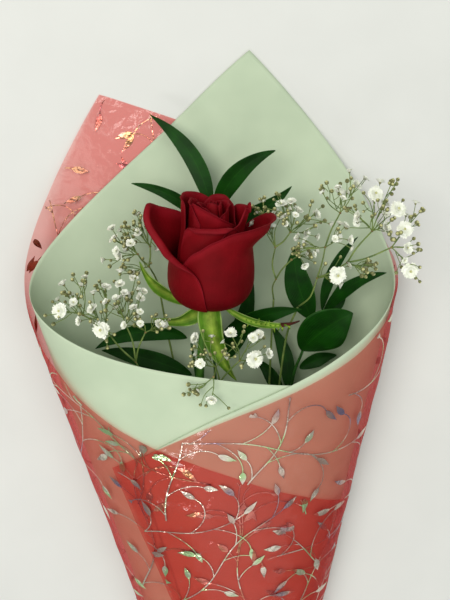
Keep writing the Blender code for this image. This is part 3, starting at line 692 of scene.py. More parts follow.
@dataclass
class Sheet:
    """A four-sided flat sheet, rolled with its left flap under and its right flap over."""

    cone: Cone
    left_rim: list[tuple[float, float]]
    right_rim: list[tuple[float, float]]
    lower_corner: float
    offset: Callable[[Array, Array], Array]

    def __post_init__(self) -> None:
        """Lays out the two upper rims as flat curves."""
        self.left = self.rim_curve(self.left_rim)
        self.right = self.rim_curve(self.right_rim)
        self.low = np.array([0.0, self.lower_corner])

    @staticmethod
    def rim_curve(rim: list[tuple[float, float]]) -> tuple[Array, Array]:
        """Draws a rim on the flat sheet.

        Args:
            rim: Its knots as degrees about the apex and distance from it.

        Returns:
            The rim's points and each one's share of its length.
        """
        knots = through(rim, 241)
        angles = np.radians(knots[:, 0])
        points = np.stack([knots[:, 1] * np.sin(angles), knots[:, 1] * np.cos(angles)], axis=1)
        lengths = np.concatenate([[0], np.cumsum(np.linalg.norm(np.diff(points, axis=0), axis=1))])
        return points, lengths / lengths[-1]

    @staticmethod
    def along(curve: tuple[Array, Array], t: Array) -> Array:
        """Returns the curve's points at the shares t."""
        points, stations = curve
        return np.stack([np.interp(t, stations, points[:, 0]), np.interp(t, stations, points[:, 1])], axis=-1)

    def flat(self, u: Array, v: Array) -> Array:
        """Spreads a patch between the sheet's four sides.

        Args:
            u: Shares from the upper corner down the right rim.
            v: Shares from the upper corner down the left rim.

        Returns:
            The flat points.
        """
        right_end, left_end, top = self.right[0][-1], self.left[0][-1], self.left[0][0]
        rim_u, rim_v = self.along(self.right, u), self.along(self.left, v)
        u, v = u[..., None], v[..., None]
        side_u = left_end + (self.low - left_end) * u
        side_v = right_end + (self.low - right_end) * v
        ruled = (1 - v) * rim_u + v * side_u + (1 - u) * rim_v + u * side_v
        upper = (1 - v) * ((1 - u) * top + u * right_end)
        return ruled - upper - v * ((1 - u) * left_end + u * self.low)

    def roll(self, flat: Array, extra: float = 0.0) -> Array:
        """Rolls flat points on to the cone.

        Args:
            flat: The flat points.
            extra: How much further out they stand than the sheet.

        Returns:
            The points in the working frame.
        """
        psi = np.degrees(np.arctan2(flat[..., 0], flat[..., 1]))
        rho = np.hypot(flat[..., 0], flat[..., 1])
        return self.cone.place(psi, rho, self.offset(psi, rho) + extra)

    def outline(self, inset: float) -> Array:
        """Walks round the sheet's flat edge.

        Args:
            inset: The share by which the outline is pulled in towards its middle.

        Returns:
            The outline as a polygon.
        """
        t = np.linspace(0, 1, 60)[:-1]
        ones, zeros = np.ones_like(t), np.zeros_like(t)
        sides = [self.flat(t, zeros), self.flat(ones, t), self.flat(1 - t, ones), self.flat(zeros, 1 - t)]
        edge = np.concatenate(sides)
        middle = edge.mean(axis=0)
        return middle + (edge - middle) * (1 - inset)


def inside(points: Array, polygon: Array) -> Array:
    """Tests flat points against a polygon by counting crossings.

    Args:
        points: The flat points.
        polygon: Its corners in order.

    Returns:
        True for each point inside.
    """
    x, y = points[..., 0], points[..., 1]
    found = np.zeros(x.shape, bool)
    for (x0, y0), (x1, y1) in zip(polygon, np.roll(polygon, -1, axis=0)):
        if y0 == y1:
            continue
        crosses = (y0 > y) != (y1 > y)
        found ^= crosses & (x < (x1 - x0) * (y - y0) / (y1 - y0) + x0)
    return found


@dataclass
class VinePrint:
    """Stamped vines: long stems with side curls, each curl ending in a pointed leaf."""

    seed: int = 5
    spacing: float = 58.0
    jitter: float = 9.0
    step: float = 2.0
    stem_length: float = 118.0
    stem_width: float = 0.8
    curl_width: float = 0.5
    curl_every: float = 14.0
    leaf_length: float = 11.0
    leaf_width: float = 3.9
    height: float = 0.1  # above the film
    min_rho: float = 118.0

    def walk(self, start: Array, heading: float, turns: Array) -> tuple[Array, Array]:
        """Walks a curved line.

        Args:
            start: Where it starts.
            heading: Its first direction, in radians.
            turns: How far it turns at each step.

        Returns:
            The line's points and its heading at each.
        """
        headings = heading + np.cumsum(turns)
        steps = np.stack([np.cos(headings), np.sin(headings)], axis=1) * self.step
        return np.vstack([start, start + np.cumsum(steps, axis=0)]), np.append(headings, headings[-1])

    @staticmethod
    def strip(line: Array, headings: Array, widths: Array, rows: int = 2) -> Array:
        """Widens a line to a strip.

        Args:
            line: The line's points.
            headings: Its heading at each.
            widths: The strip's width at each.
            rows: How many points the strip has across.

        Returns:
            The strip as rows by points by 2.
        """
        normal = np.stack([-np.sin(headings), np.cos(headings)], axis=1)
        shares = np.linspace(-0.5, 0.5, rows)
        return np.stack([line + normal * (widths * share)[:, None] for share in shares])

    def leaf(self, start: Array, heading: float, rng: Rng) -> Array:
        """Draws a pointed leaf.

        Args:
            start: Where its stalk ends.
            heading: Where it points.
            rng: The print's random source.

        Returns:
            The leaf as a strip.
        """
        length = self.leaf_length * rng.uniform(0.75, 1.15)
        t = np.linspace(0, 1, 9)
        bend = rng.uniform(-0.5, 0.5)
        headings = heading + bend * t
        steps = np.stack([np.cos(headings), np.sin(headings)], axis=1) * length / 8
        line = start + np.cumsum(steps, axis=0) - steps[0]
        widths = self.leaf_width * rng.uniform(0.8, 1.1) * np.sin(math.pi * t**0.75) ** 1.2 + 0.05
        return self.strip(line, headings, widths, 3)

    def strips(self) -> list[Array]:
        """Returns every stem, curl and leaf of the print as flat strips."""
        rng = np.random.default_rng(self.seed)
        made = []
        for row, y in enumerate(np.arange(90.0, 620.0, self.spacing)):
            for x in np.arange(-360.0, 340.0, self.spacing):
                foot = np.array([x + (row % 2) * self.spacing / 2, y])
                made += self.vine(foot + rng.uniform(-self.jitter, self.jitter, 2), rng)
        return made

    def vine(self, start: Array, rng: Rng) -> list[Array]:
        """Draws one stem with its curls and leaves.

        Args:
            start: The stem's foot.
            rng: The print's random source.

        Returns:
            Its flat strips.
        """
        made = []
        count = int(self.stem_length * rng.uniform(0.75, 1.1) / self.step)
        phase, swing = rng.uniform(0, 2 * math.pi), rng.uniform(0.028, 0.055)
        turns = swing * np.sin(np.linspace(0, 2.3 * math.pi, count) + phase)
        heading = math.radians(rng.normal(100, 34))
        line, headings = self.walk(start, heading, turns)
        made.append(self.strip(line, headings, np.linspace(self.stem_width, self.curl_width, len(line))))
        side = 1 if rng.random() < 0.5 else -1
        for at in np.arange(rng.uniform(4, 10), count * self.step, self.curl_every):
            index = int(at / self.step)
            side = -side
            length = int(rng.uniform(10, 36) / self.step)
            curl = side * rng.uniform(0.06, 0.17) * np.linspace(0.4, 1.4, length)
            branch, angles = self.walk(line[index], headings[index] + side * 0.5, curl)
            made.append(self.strip(branch, angles, np.full(len(branch), self.curl_width)))
            made.append(self.leaf(branch[-1], angles[-1], rng))
        made.append(self.leaf(line[-1], headings[-1], rng))
        return made


@dataclass
class Wrap:
    """The paper sheet, the film with its print, the ribbon round the waist and the band round the stems."""

    cone: Cone
    paper_thickness: float = 0.24
    ribbon_width: float = 16.0
    ribbon_thickness: float = 0.3
    ribbon_gap: float = 0.9
    ribbon_ripple: float = 0.18
    ribbon_pleated: float = 0.22  # share of the film's pleats that show through it
    band_radius: float = 7.6
    band_thickness: float = 0.75
    band_turns: tuple = (-3.0, -1.1, 0.8, 2.8)
    paper_step: float = 0.5
    film_step: float = 0.5
    film_underside: float = 1.16
    film_front: float = 1.75
    film_bulge: float = 2.6
    bulge_at: float = 15.5  # degrees on the flat sheet from the middle of its underside
    bulge_width: float = 5.0
    bulge_end: tuple[float, float] = (425.0, 465.0)
    slack_end: tuple[float, float] = (130.0, 190.0)
    waist_slack: float = 1.3
    swell_height: float = 0.35
    crinkle_height: float = 0.22
    cross_height: float = 0.2
    border: float = 0.006  # share of the film without print along its edge
    paper_corner: float = 30.0  # the lower corners' distances from the apex
    film_corner: float = 58.0
    cells: int = 170
    paper_rims: tuple = (
        [(2.7, 589), (-3.5, 539), (-12.4, 488), (-22.3, 446), (-35.0, 423), (-46.0, 420)],
        [(2.7, 589), (9.3, 522), (14.5, 473), (21.9, 434), (31.7, 400), (38.0, 376)],
    )
    film_rims: tuple = (
        [(-6.1, 571), (-12.8, 495), (-20.7, 408), (-32.0, 363), (-42.7, 336), (-46.5, 330)],
        [(-6.1, 571), (-2.1, 553), (10.0, 503), (20.2, 436), (32.6, 395), (40.3, 371)],
    )

    @staticmethod
    def flap(psi: Array) -> Array:
        """Returns how far the sheet has climbed on to its own lower flap, from 0 to 1."""
        return smoothstep(6.0, 12.5, psi)

    def swell(self, psi: Array, rho: Array) -> Array:
        """Returns the slow waves that both sheets share where they don't lie on the floor."""
        off_floor = smoothstep(10.0, 16.0, np.abs(self.cone.location(psi)))
        return self.swell_height * np.sin(rho / 41.0 + psi / 7.0) * off_floor * smoothstep(200, 300, rho)

    def paper_offset(self, psi: Array, rho: Array) -> Array:
        """Works out how far the paper stands outside the oval.

        Args:
            psi: Each point's angle on the flat sheet.
            rho: Its distance from the apex.

        Returns:
            The distance in millimetres.
        """
        return self.paper_step * self.flap(psi) + self.swell(psi, rho)

    def film_offset(self, psi: Array, rho: Array) -> Array:
        """Works out how far the film stands outside the oval, crinkled where it is free.

        Args:
            psi: Each point's angle on the flat sheet.
            rho: Its distance from the apex.

        Returns:
            The distance in millimetres.
        """
        where = np.abs(self.cone.location(psi))
        bulge = self.film_bulge * np.exp(-(((where - self.bulge_at) / self.bulge_width) ** 2))
        bulge = bulge * (1 - smoothstep(*self.bulge_end, rho) * (self.cone.location(psi) > 0))
        base = self.film_underside + (self.film_front - self.film_underside) * smoothstep(6.0, 10.0, where)
        slack = self.waist_slack * (1 - smoothstep(*self.slack_end, rho))
        turn = np.radians(psi)
        x, y = rho * np.sin(turn), rho * np.cos(turn)
        crinkle = self.crinkle_height * np.sin(x / 5.1 + 0.8 * np.sin(y / 17.0)) * np.sin(y / 23.0 + x / 31.0)
        crinkle += self.cross_height * np.sin(y / 4.3 + 1.1 * np.sin(x / 13.0)) * np.sin(x / 19.0 - y / 29.0)
        free = smoothstep(8.0, 12.0, where) * smoothstep(140, 200, rho)
        return base + bulge + slack + self.film_step * self.flap(psi) + crinkle * free + self.swell(psi, rho)

    def build(self) -> None:
        """Makes the sheets, the print on the film and the ties."""
        paper = Sheet(self.cone, *self.paper_rims, self.paper_corner, self.paper_offset)
        film = Sheet(self.cone, *self.film_rims, self.film_corner, self.film_offset)
        u, v = np.meshgrid(np.linspace(0, 1, self.cells), np.linspace(0, 1, self.cells), indexing="ij")
        for name, sheet, finish, thickness in (
            ("paper", paper, WrapPaper(), self.paper_thickness), ("film", film, TintedFilm(), 0.0),
        ):
            flat = sheet.flat(u, v)
            mesh = Gatherer()
            mesh.add_grid(sheet.roll(flat), uvs=flat * MM)
            kind = f"wrap_{name}"
            mesh.build(kind, kind, [f"{name}_sheet"], [finish], thickness, 1.0)
        vines = self.build_print(film)
        self.build_ties()

    def build_print(self, film: Sheet) -> bpy.types.Object:
        """Lays the vines on the film's outside.

        Args:
            film: The film's sheet.

        Returns:
            The vines' piece.
        """
        design = VinePrint()
        border = film.outline(self.border)
        mesh = Gatherer()
        for strip in design.strips():
            keep = inside(strip, border) & (np.hypot(strip[..., 0], strip[..., 1]) > design.min_rho)
            if keep.any():
                mesh.add_grid(film.roll(strip, design.height), keep=keep)
        return mesh.build("film_vine_print", "wrap_film", [], [HotFoil()])

    def build_ties(self) -> None:
        """Makes the ribbon round the waist and the rubber band round the stems."""
        half = self.ribbon_width / 2
        angle, along = np.meshgrid(
            np.linspace(-math.pi, math.pi, 241), np.linspace(-half, half, 13), indexing="ij"
        )
        loose = self.film_front + self.film_bulge + self.waist_slack + self.film_step + self.ribbon_gap
        under = self.film_underside + self.waist_slack + 0.5
        offset = under + (loose - under) * smoothstep(0.45, 1.1, np.abs(angle))
        offset = offset + self.ribbon_ripple * np.cos(along / 2.1 + 1.5 * np.sin(2 * angle))
        offset = offset - 0.012 * along**2  # its edges dip in
        mesh = Gatherer()
        mesh.add_grid(self.cone.on_oval(angle, self.cone.waist_at + along, offset, self.ribbon_pleated))
        mesh.build("waist_ribbon_band", "ribbon", ["waist_ribbon"], [RIBBON], self.ribbon_thickness, 1.0)
        band = Gatherer()
        turn = np.linspace(0, 2 * math.pi, 49)
        for index, shift in enumerate(self.band_turns):
            reach = self.band_radius + 0.15 * (index % 2)
            at = self.cone.waist_at + shift + 0.5 * np.sin(turn + index)
            up = self.cone.least_height / 2 - reach * np.cos(turn) + self.cone.lift(at)
            loop = self.cone.to_world(reach * np.sin(turn), at, up)
            band.add_tube(loop, np.full(len(turn), self.band_thickness), 8)
        band.build("stem_rubber_band", "rubber_band", ["stem_band"], [RUBBER])


# ---------------------------------------------------------------- stems, leaves and sepals


@dataclass
class Stems:
    """The bundle of stems: the rose's in the middle and the others in slots round it."""

    cone: Cone
    slot_radius: float = 5.5
    centre_height: float = 10.0
    rose_radii: tuple[float, float] = (3.0, 2.3)
    twig_radii: tuple[float, float] = (1.4, 0.75)
    joint_swell: float = 0.07
    bound_at: tuple = (26.0, 66.0, 108.0, 122.0)
    rose_route: tuple = (
        (2, -235, 22), (-8, -150, 32), (-14.5, -70, 40), (-13, -30, 43.5), (-9.2, -10.6, 45.4),
    )
    twigs: tuple = (
        ("back", -90, ((5, -235, 9), (-2, -130, 11), (-7, -40, 16), (-9, 38, 20))),
        ("right", -45, ((23, -240, 12), (32, -150, 16), (40, -66, 24), (46, -40, 29), (54, -18, 29))),
        ("left", -135, ((0, -240, 12), (-8, -150, 17), (-17, -62, 23), (-20, -36, 26))),
    )

    def slot(self, angle: float | None, d: float) -> Array:
        """Finds a stem's place in the bundle.

        Args:
            angle: Its slot's angle, or None for the rose's own in the middle.
            d: The distance along the cone.

        Returns:
            The place in the working frame.
        """
        reach = 0.0 if angle is None else self.slot_radius
        turn = math.radians(angle or 0.0)
        up = self.centre_height + reach * math.sin(turn) + float(self.cone.lift(d))
        return self.cone.to_world(reach * math.cos(turn), d, up)

    def route(self, angle: float | None, free: tuple) -> Array:
        """Strings a stem's knots from its cut end through the bundle.

        Args:
            angle: Its slot's angle, or None for the rose's own.
            free: Its free points beyond the bundle.

        Returns:
            The knots.
        """
        bound = [self.slot(angle, d) for d in self.bound_at]
        return np.vstack([bound, np.array(free, float)])

    def build(self) -> None:
        """Makes the rose's stem and the three ruscus twigs."""
        stem = Gatherer()
        line = through(self.route(None, self.rose_route), 90)
        joints = 1 + self.joint_swell * np.sin(np.linspace(0, 31, 90)) ** 8
        stem.add_tube(line, np.linspace(*self.rose_radii, 90) * joints, 16)
        stem.build("rose_stalk", "rose_stem", ["rose_stem"], [ROSE_STEM])
        for name, angle, free in self.twigs:
            twig = Gatherer()
            twig.add_tube(through(self.route(angle, free), 70), np.linspace(*self.twig_radii, 70), 10)
            twig.build(f"ruscus_stalk_{name}", "ruscus_stem", [f"ruscus_twig_{name}"], [RUSCUS_STEM])


@dataclass
class Blade:
    """A leaf or sepal from its base to its tip, bowed away from the straight line and folded at its rib."""

    name: str
    base: Point
    tip: Point
    bow: Point
    width: float
    tilt: float = 0.0
    fold: float = 0.14
    fullness: float = 0.8
    ripple: float = 0.25

    def line(self, v: Array) -> tuple[Array, Array]:
        """Runs along the rib.

        Args:
            v: Shares from base to tip.

        Returns:
            The rib's points and its direction at each.
        """
        base, tip, bow = (np.array(value, float) for value in (self.base, self.tip, self.bow))
        middle = (base + tip) / 2 + bow * 2
        v = v[:, None]
        points = (1 - v) ** 2 * base + 2 * v * (1 - v) * middle + v**2 * tip
        ahead = 2 * (1 - v) * (middle - base) + 2 * v * (tip - middle)
        return points, ahead / np.linalg.norm(ahead, axis=1, keepdims=True)

    def grid(self, across_count: int = 17, along_count: int = 49) -> Array:
        """Shapes the blade's surface.

        Args:
            across_count: Points from edge to edge.
            along_count: Points from base to tip.

        Returns:
            The surface as across by along by 3.
        """
        v = np.linspace(0, 1, along_count)
        across = np.linspace(-1, 1, across_count)
        points, forward = self.line(v)
        side = np.cross(forward, (0, 0, 1))
        side /= np.linalg.norm(side, axis=1, keepdims=True)
        up = np.cross(side, forward)
        turn = math.radians(self.tilt)
        side, up = side * math.cos(turn) + up * math.sin(turn), up * math.cos(turn) - side * math.sin(turn)
        half = 0.5 * self.width * np.maximum(np.sin(math.pi * v**self.fullness), 0) ** 0.85 + 0.12
        shape = np.abs(across) ** 1.5
        seed = sum(ord(letter) for letter in self.name)
        wave = self.ripple * np.sin(v * 13 + seed)[None, :] * (across**2)[:, None] * np.sign(across)[:, None]
        rise = shape[:, None] * half[None, :] * self.fold + wave
        return points + side * (across[:, None] * half)[..., None] + up * rise[..., None]


@dataclass
class Foliage:
    """The ruscus leaves, one piece each."""

    leaves: tuple = (
        Blade("leaf_back_tall", (-8.6, 43, 22), (-43, 97, 12), (7, 4, 3), 10.5, 10),
        Blade("leaf_back_right", (-5.5, 41, 23), (28, 79, 34), (-5, 5, 1), 11.5, -12),
        Blade("leaf_back_left", (-13.5, 37, 22), (-53, 60, 29), (3, 4, 2), 7.5, 20),
        Blade("leaf_back_low", (-4.5, 36, 20), (38, 58, 26), (2, -4, 0), 9.5, -16),
        Blade("leaf_under_bud", (-4, -40, 18), (44, -11, 40), (-3, 6, 3), 12.5, -14),
        Blade("leaf_behind_bud", (-3, -52, 15), (16, 4, 17), (4, -3, 0), 11.0, 10),
        Blade("leaf_right_upright", (51.5, -20, 30), (39.5, 24, 36), (-3, 0, -1), 16.0, 12),
        Blade("leaf_right_thin", (57, -14.5, 30), (75, 31, 38), (-4, 3, 0), 8.0, -30),
        Blade("leaf_right_outer", (58.5, -17, 29), (90, 13, 50), (-3, 5, 1), 8.5, -14),
        Blade("leaf_right_dark", (57.5, -19.5, 26), (69, 3, 22), (3, -2, -1), 9.5, 0),
        Blade("leaf_right_broad", (45, -38, 33), (73, -12, 44), (-1, 3, 3), 27.0, -8, fullness=0.9),
        Blade("leaf_right_inner", (38, -67, 21), (28, -28, 12), (4, 0, 0), 9.0, 10),
        Blade("leaf_right_low", (45, -52, 25), (67, -44, 24), (0, 2, 1), 9.0, -10),
        Blade("leaf_right_under", (35, -76, 20), (18, -50, 12), (2, 3, 0), 9.0, 20),
        Blade("leaf_left_long", (-22.5, -32, 28), (-75, -34, 42), (0, 7, 0), 11.0, 8),
        Blade("leaf_left_lower", (-20, -56, 26), (-74, -41, 24), (0, 3, 1), 12.0, 0),
    )
    thickness: float = 0.3

    def build(self) -> None:
        """Makes each leaf."""
        for leaf in self.leaves:
            mesh = Gatherer()
            mesh.add_grid(leaf.grid())
            mesh.build(f"ruscus_{leaf.name}", "ruscus_leaf", [leaf.name], [RUSCUS_LEAF], self.thickness)


@dataclass
class Calyx:
    """The rose's hip and its five sepals, the narrow one with side hairs and a dry tip."""

    sepals: tuple = (
        Blade("sepal_upper_left", (-15, -6, 41), (-48, 18, 44), (-4, -5, 0), 8.5, 30, 0.3, 0.75, 0.4),
        Blade("sepal_lower_left", (-10, -3, 51), (-41, -12, 54), (2, -5.5, 1), 9.5, 20, 0.35, 0.5, 0.6),
        Blade("sepal_front", (-8.5, -2, 53), (6.5, -47, 60), (-4, -1, 3), 13.5, -14, 0.3, 0.5, 0.8),
        Blade("sepal_right", (-1, -6, 50.5), (42, -14, 53), (0, -6, 1), 4.0, 10, 0.3, 0.7, 0.3),
        Blade("sepal_back", (-8, -12, 38), (-2, -40, 30), (0, 0, -2), 8.0, 0, 0.3, 0.7, 0.4),
    )
    thickness: float = 0.5
    dry_from: int = 36  # row of the narrow sepal where its dry tip starts
    hip: tuple = ((0, -4.0), (3.2, -3.6), (5.6, -1.0), (6.4, 2.0), (6.0, 4.4), (2.6, 5.0), (0, 5.2))

    def build(self, head: "RoseFrame") -> None:
        """Makes the sepals, and the hip as a turned cup.

        Args:
            head: The rose head's frame.
        """
        for sepal in self.sepals:
            mesh = Gatherer()
            grid = sepal.grid()
            if sepal.name == "sepal_right":
                mesh.add_grid(grid[:, : self.dry_from + 1])
                mesh.add_grid(grid[:, self.dry_from :], 1)
                self.add_hairs(mesh, sepal)
            else:
                mesh.add_grid(grid)
            mesh.build(f"rose_{sepal.name}", "sepal", [sepal.name], [SEPAL, SEPAL_TIP], self.thickness)
        turned = Gatherer()
        profile = through(self.hip, 25)
        angles = np.linspace(0, 360, 41)
        grid = np.array([[head.place(max(r, 0.0), a, h) for r, h in profile] for a in angles])
        turned.add_grid(grid)
        turned.build("rose_hip_cup", "sepal", ["rose_hip"], [SEPAL])

    def add_hairs(self, mesh: Gatherer, sepal: Blade) -> None:
        """Adds the little side lobes that a narrow sepal carries along both edges.

        Args:
            mesh: Where they are added.
            sepal: The narrow sepal.
        """
        rng = np.random.default_rng(5)
        for share in np.linspace(0.3, 0.8, 9):
            point, forward = (value[0] for value in sepal.line(np.array([share])))
            side = unit(np.cross(forward, (0, 0, 1))) * rng.choice([-1, 1])
            tip = point + side * rng.uniform(2.2, 4.0) + forward * rng.uniform(1.0, 3.0)
            lobe = through([point, (point + tip) / 2 + forward, tip], 6)
            mesh.add_tube(lobe, np.linspace(0.45, 0.12, 6), 5)


# ---------------------------------------------------------------- the rose head


@dataclass
class RoseFrame:
    """The head's own frame: height along its axis, angle 0 towards the viewer and 90 to the right."""

    base: Point = (-9.0, -8.0, 46.0)
    direction: Point = (0.045, 0.975, 0.215)

    def __post_init__(self) -> None:
        """Works out the frame's three directions."""
        self.axis = unit(np.array(self.direction))
        self.right = unit(np.cross(self.axis, (0, 0, 1)))
        self.front = np.cross(self.right, self.axis)

    def place(self, radius: Array, angle: Array, height: Array) -> Array:
        """Turns places about the head's axis into the working frame's.

        Args:
            radius: Each point's distance from the axis.
            angle: Its angle in degrees.
            height: Its height along the axis.

        Returns:
            The points in the working frame.
        """
        turn = np.radians(angle)
        outward = np.sin(turn)[..., None] * self.right + np.cos(turn)[..., None] * self.front
        middle = np.array(self.base) + np.asarray(height, float)[..., None] * self.axis
        return middle + outward * np.asarray(radius, float)[..., None]


class Cup(Enum):
    """Profiles of the bud's layers, as radius and height along the head's axis."""

    OUTER = (
        (6, 4), (14, 5), (20, 8.5), (23.3, 15), (23.8, 23), (22.8, 33), (21.2, 43), (20.4, 51), (20.2, 70),
    )
    MIDDLE = (
        (5, 5), (10, 6.5), (14.8, 10), (18, 16), (19.0, 24), (18.4, 34), (17.4, 44), (16.9, 52), (16.2, 72),
    )
    INNER = (
        (3.5, 7), (8, 9), (11.8, 13), (14.3, 20), (14.8, 28), (14.2, 38), (13.4, 48), (12.8, 55), (12, 74),
    )
    CORE = (
        (2.5, 9), (5.5, 11), (8.4, 16), (10.2, 23), (10.5, 32), (9.9, 42), (9.0, 50), (8.3, 56), (7.4, 72),
    )
    HEART = (
        (1.5, 10.8), (3.5, 13), (5.2, 19), (6.4, 27), (6.6, 37), (6.0, 46), (5.2, 54), (4.4, 59), (3.6, 63),
    )


@dataclass
class Petal:
    """One petal of the bud.

    The rim is given as angles and heights, and the curl of its edge as angles, degrees and lengths.
    The flare leans the petal out about one angle, from a lower to an upper height.
    """

    name: str
    cup: Cup
    rim: tuple
    curls: tuple
    step: float = 0.75
    flare: float = 0.0
    flare_angle: float = 0.0
    flare_width: float = 34.0
    flare_from: float = 34.0
    flare_to: float = 58.0
    ruffle: float = 0.3

    def grid(self, head: RoseFrame, across_count: int = 85, along_count: int = 65) -> Array:
        """Shapes the petal's surface.

        Args:
            head: The rose head's frame.
            across_count: Points from side to side.
            along_count: Points from base to rim.

        Returns:
            The surface as across by along by 3.
        """
        across = np.linspace(-1, 1, across_count)
        knots = through(self.rim, 400)
        angle = np.linspace(self.rim[0][0], self.rim[-1][0], across_count)
        rims = np.interp(angle, knots[:, 0], knots[:, 1])
        curls = np.array(self.curls, float)
        turns, lengths = (np.interp(angle, curls[:, 0], curls[:, column]) for column in (1, 2))
        profile = through(self.cup.value, 241)
        stations = np.concatenate([[0], np.cumsum(np.linalg.norm(np.diff(profile, axis=0), axis=1))])
        ribs = np.array(
            [
                self.rib(profile, stations, *values, along_count)
                for values in zip(across, angle, rims, np.radians(turns), lengths)
            ]
        )
        return head.place(ribs[..., 0], np.repeat(angle[:, None], along_count, axis=1), ribs[..., 1])

    def rib(
        self, profile: Array, stations: Array, across: float, turn: float, rim: float, curl: float,
        length: float, count: int,
    ) -> Array:
        """Returns one rib's radius and height from the petal's base to its edge.

        Args:
            profile: The cup's radius and height.
            stations: The profile's lengths.
            across: The rib's place across the petal, from -1 to 1.
            turn: Its angle about the head's axis, in degrees.
            rim: The height that the curled edge reaches.
            curl: How far the edge curls outward, in radians.
            length: How much of the edge is curled.
            count: How many points to return.
        """
        radius = length / max(curl, 0.02)
        top = rim - radius * math.sin(min(curl, math.pi / 2))
        start = float(np.interp(top, profile[:, 1], stations))
        reach = np.linspace(0, start + length, count)
        lean = math.exp(-(((turn - self.flare_angle) / self.flare_width) ** 2))

        def spot(at: Array) -> Array:
            """Returns the leaned and ruffled rib's radius and height at a length along it."""
            wide = np.interp(at, stations, profile[:, 0])
            high = np.interp(at, stations, profile[:, 1])
            out = self.flare * lean * smoothstep(self.flare_from, self.flare_to, high)
            wave = self.ruffle * np.sin(turn / 5.3 + len(self.name)) * smoothstep(0.7, 1.0, at / start)
            return np.stack([wide + out + self.step * across + wave, high - 0.06 * out], axis=-1)

        points = spot(np.minimum(reach, start))
        at, before = spot(np.array([start]))[0], spot(np.array([start - 0.6]))[0]
        along = unit(at - before)
        outward = np.array([along[1], -along[0]])
        bend = np.clip(reach - start, 0, None) / radius
        points += along * (radius * np.sin(bend))[:, None] + outward * (radius * (1 - np.cos(bend)))[:, None]
        return points


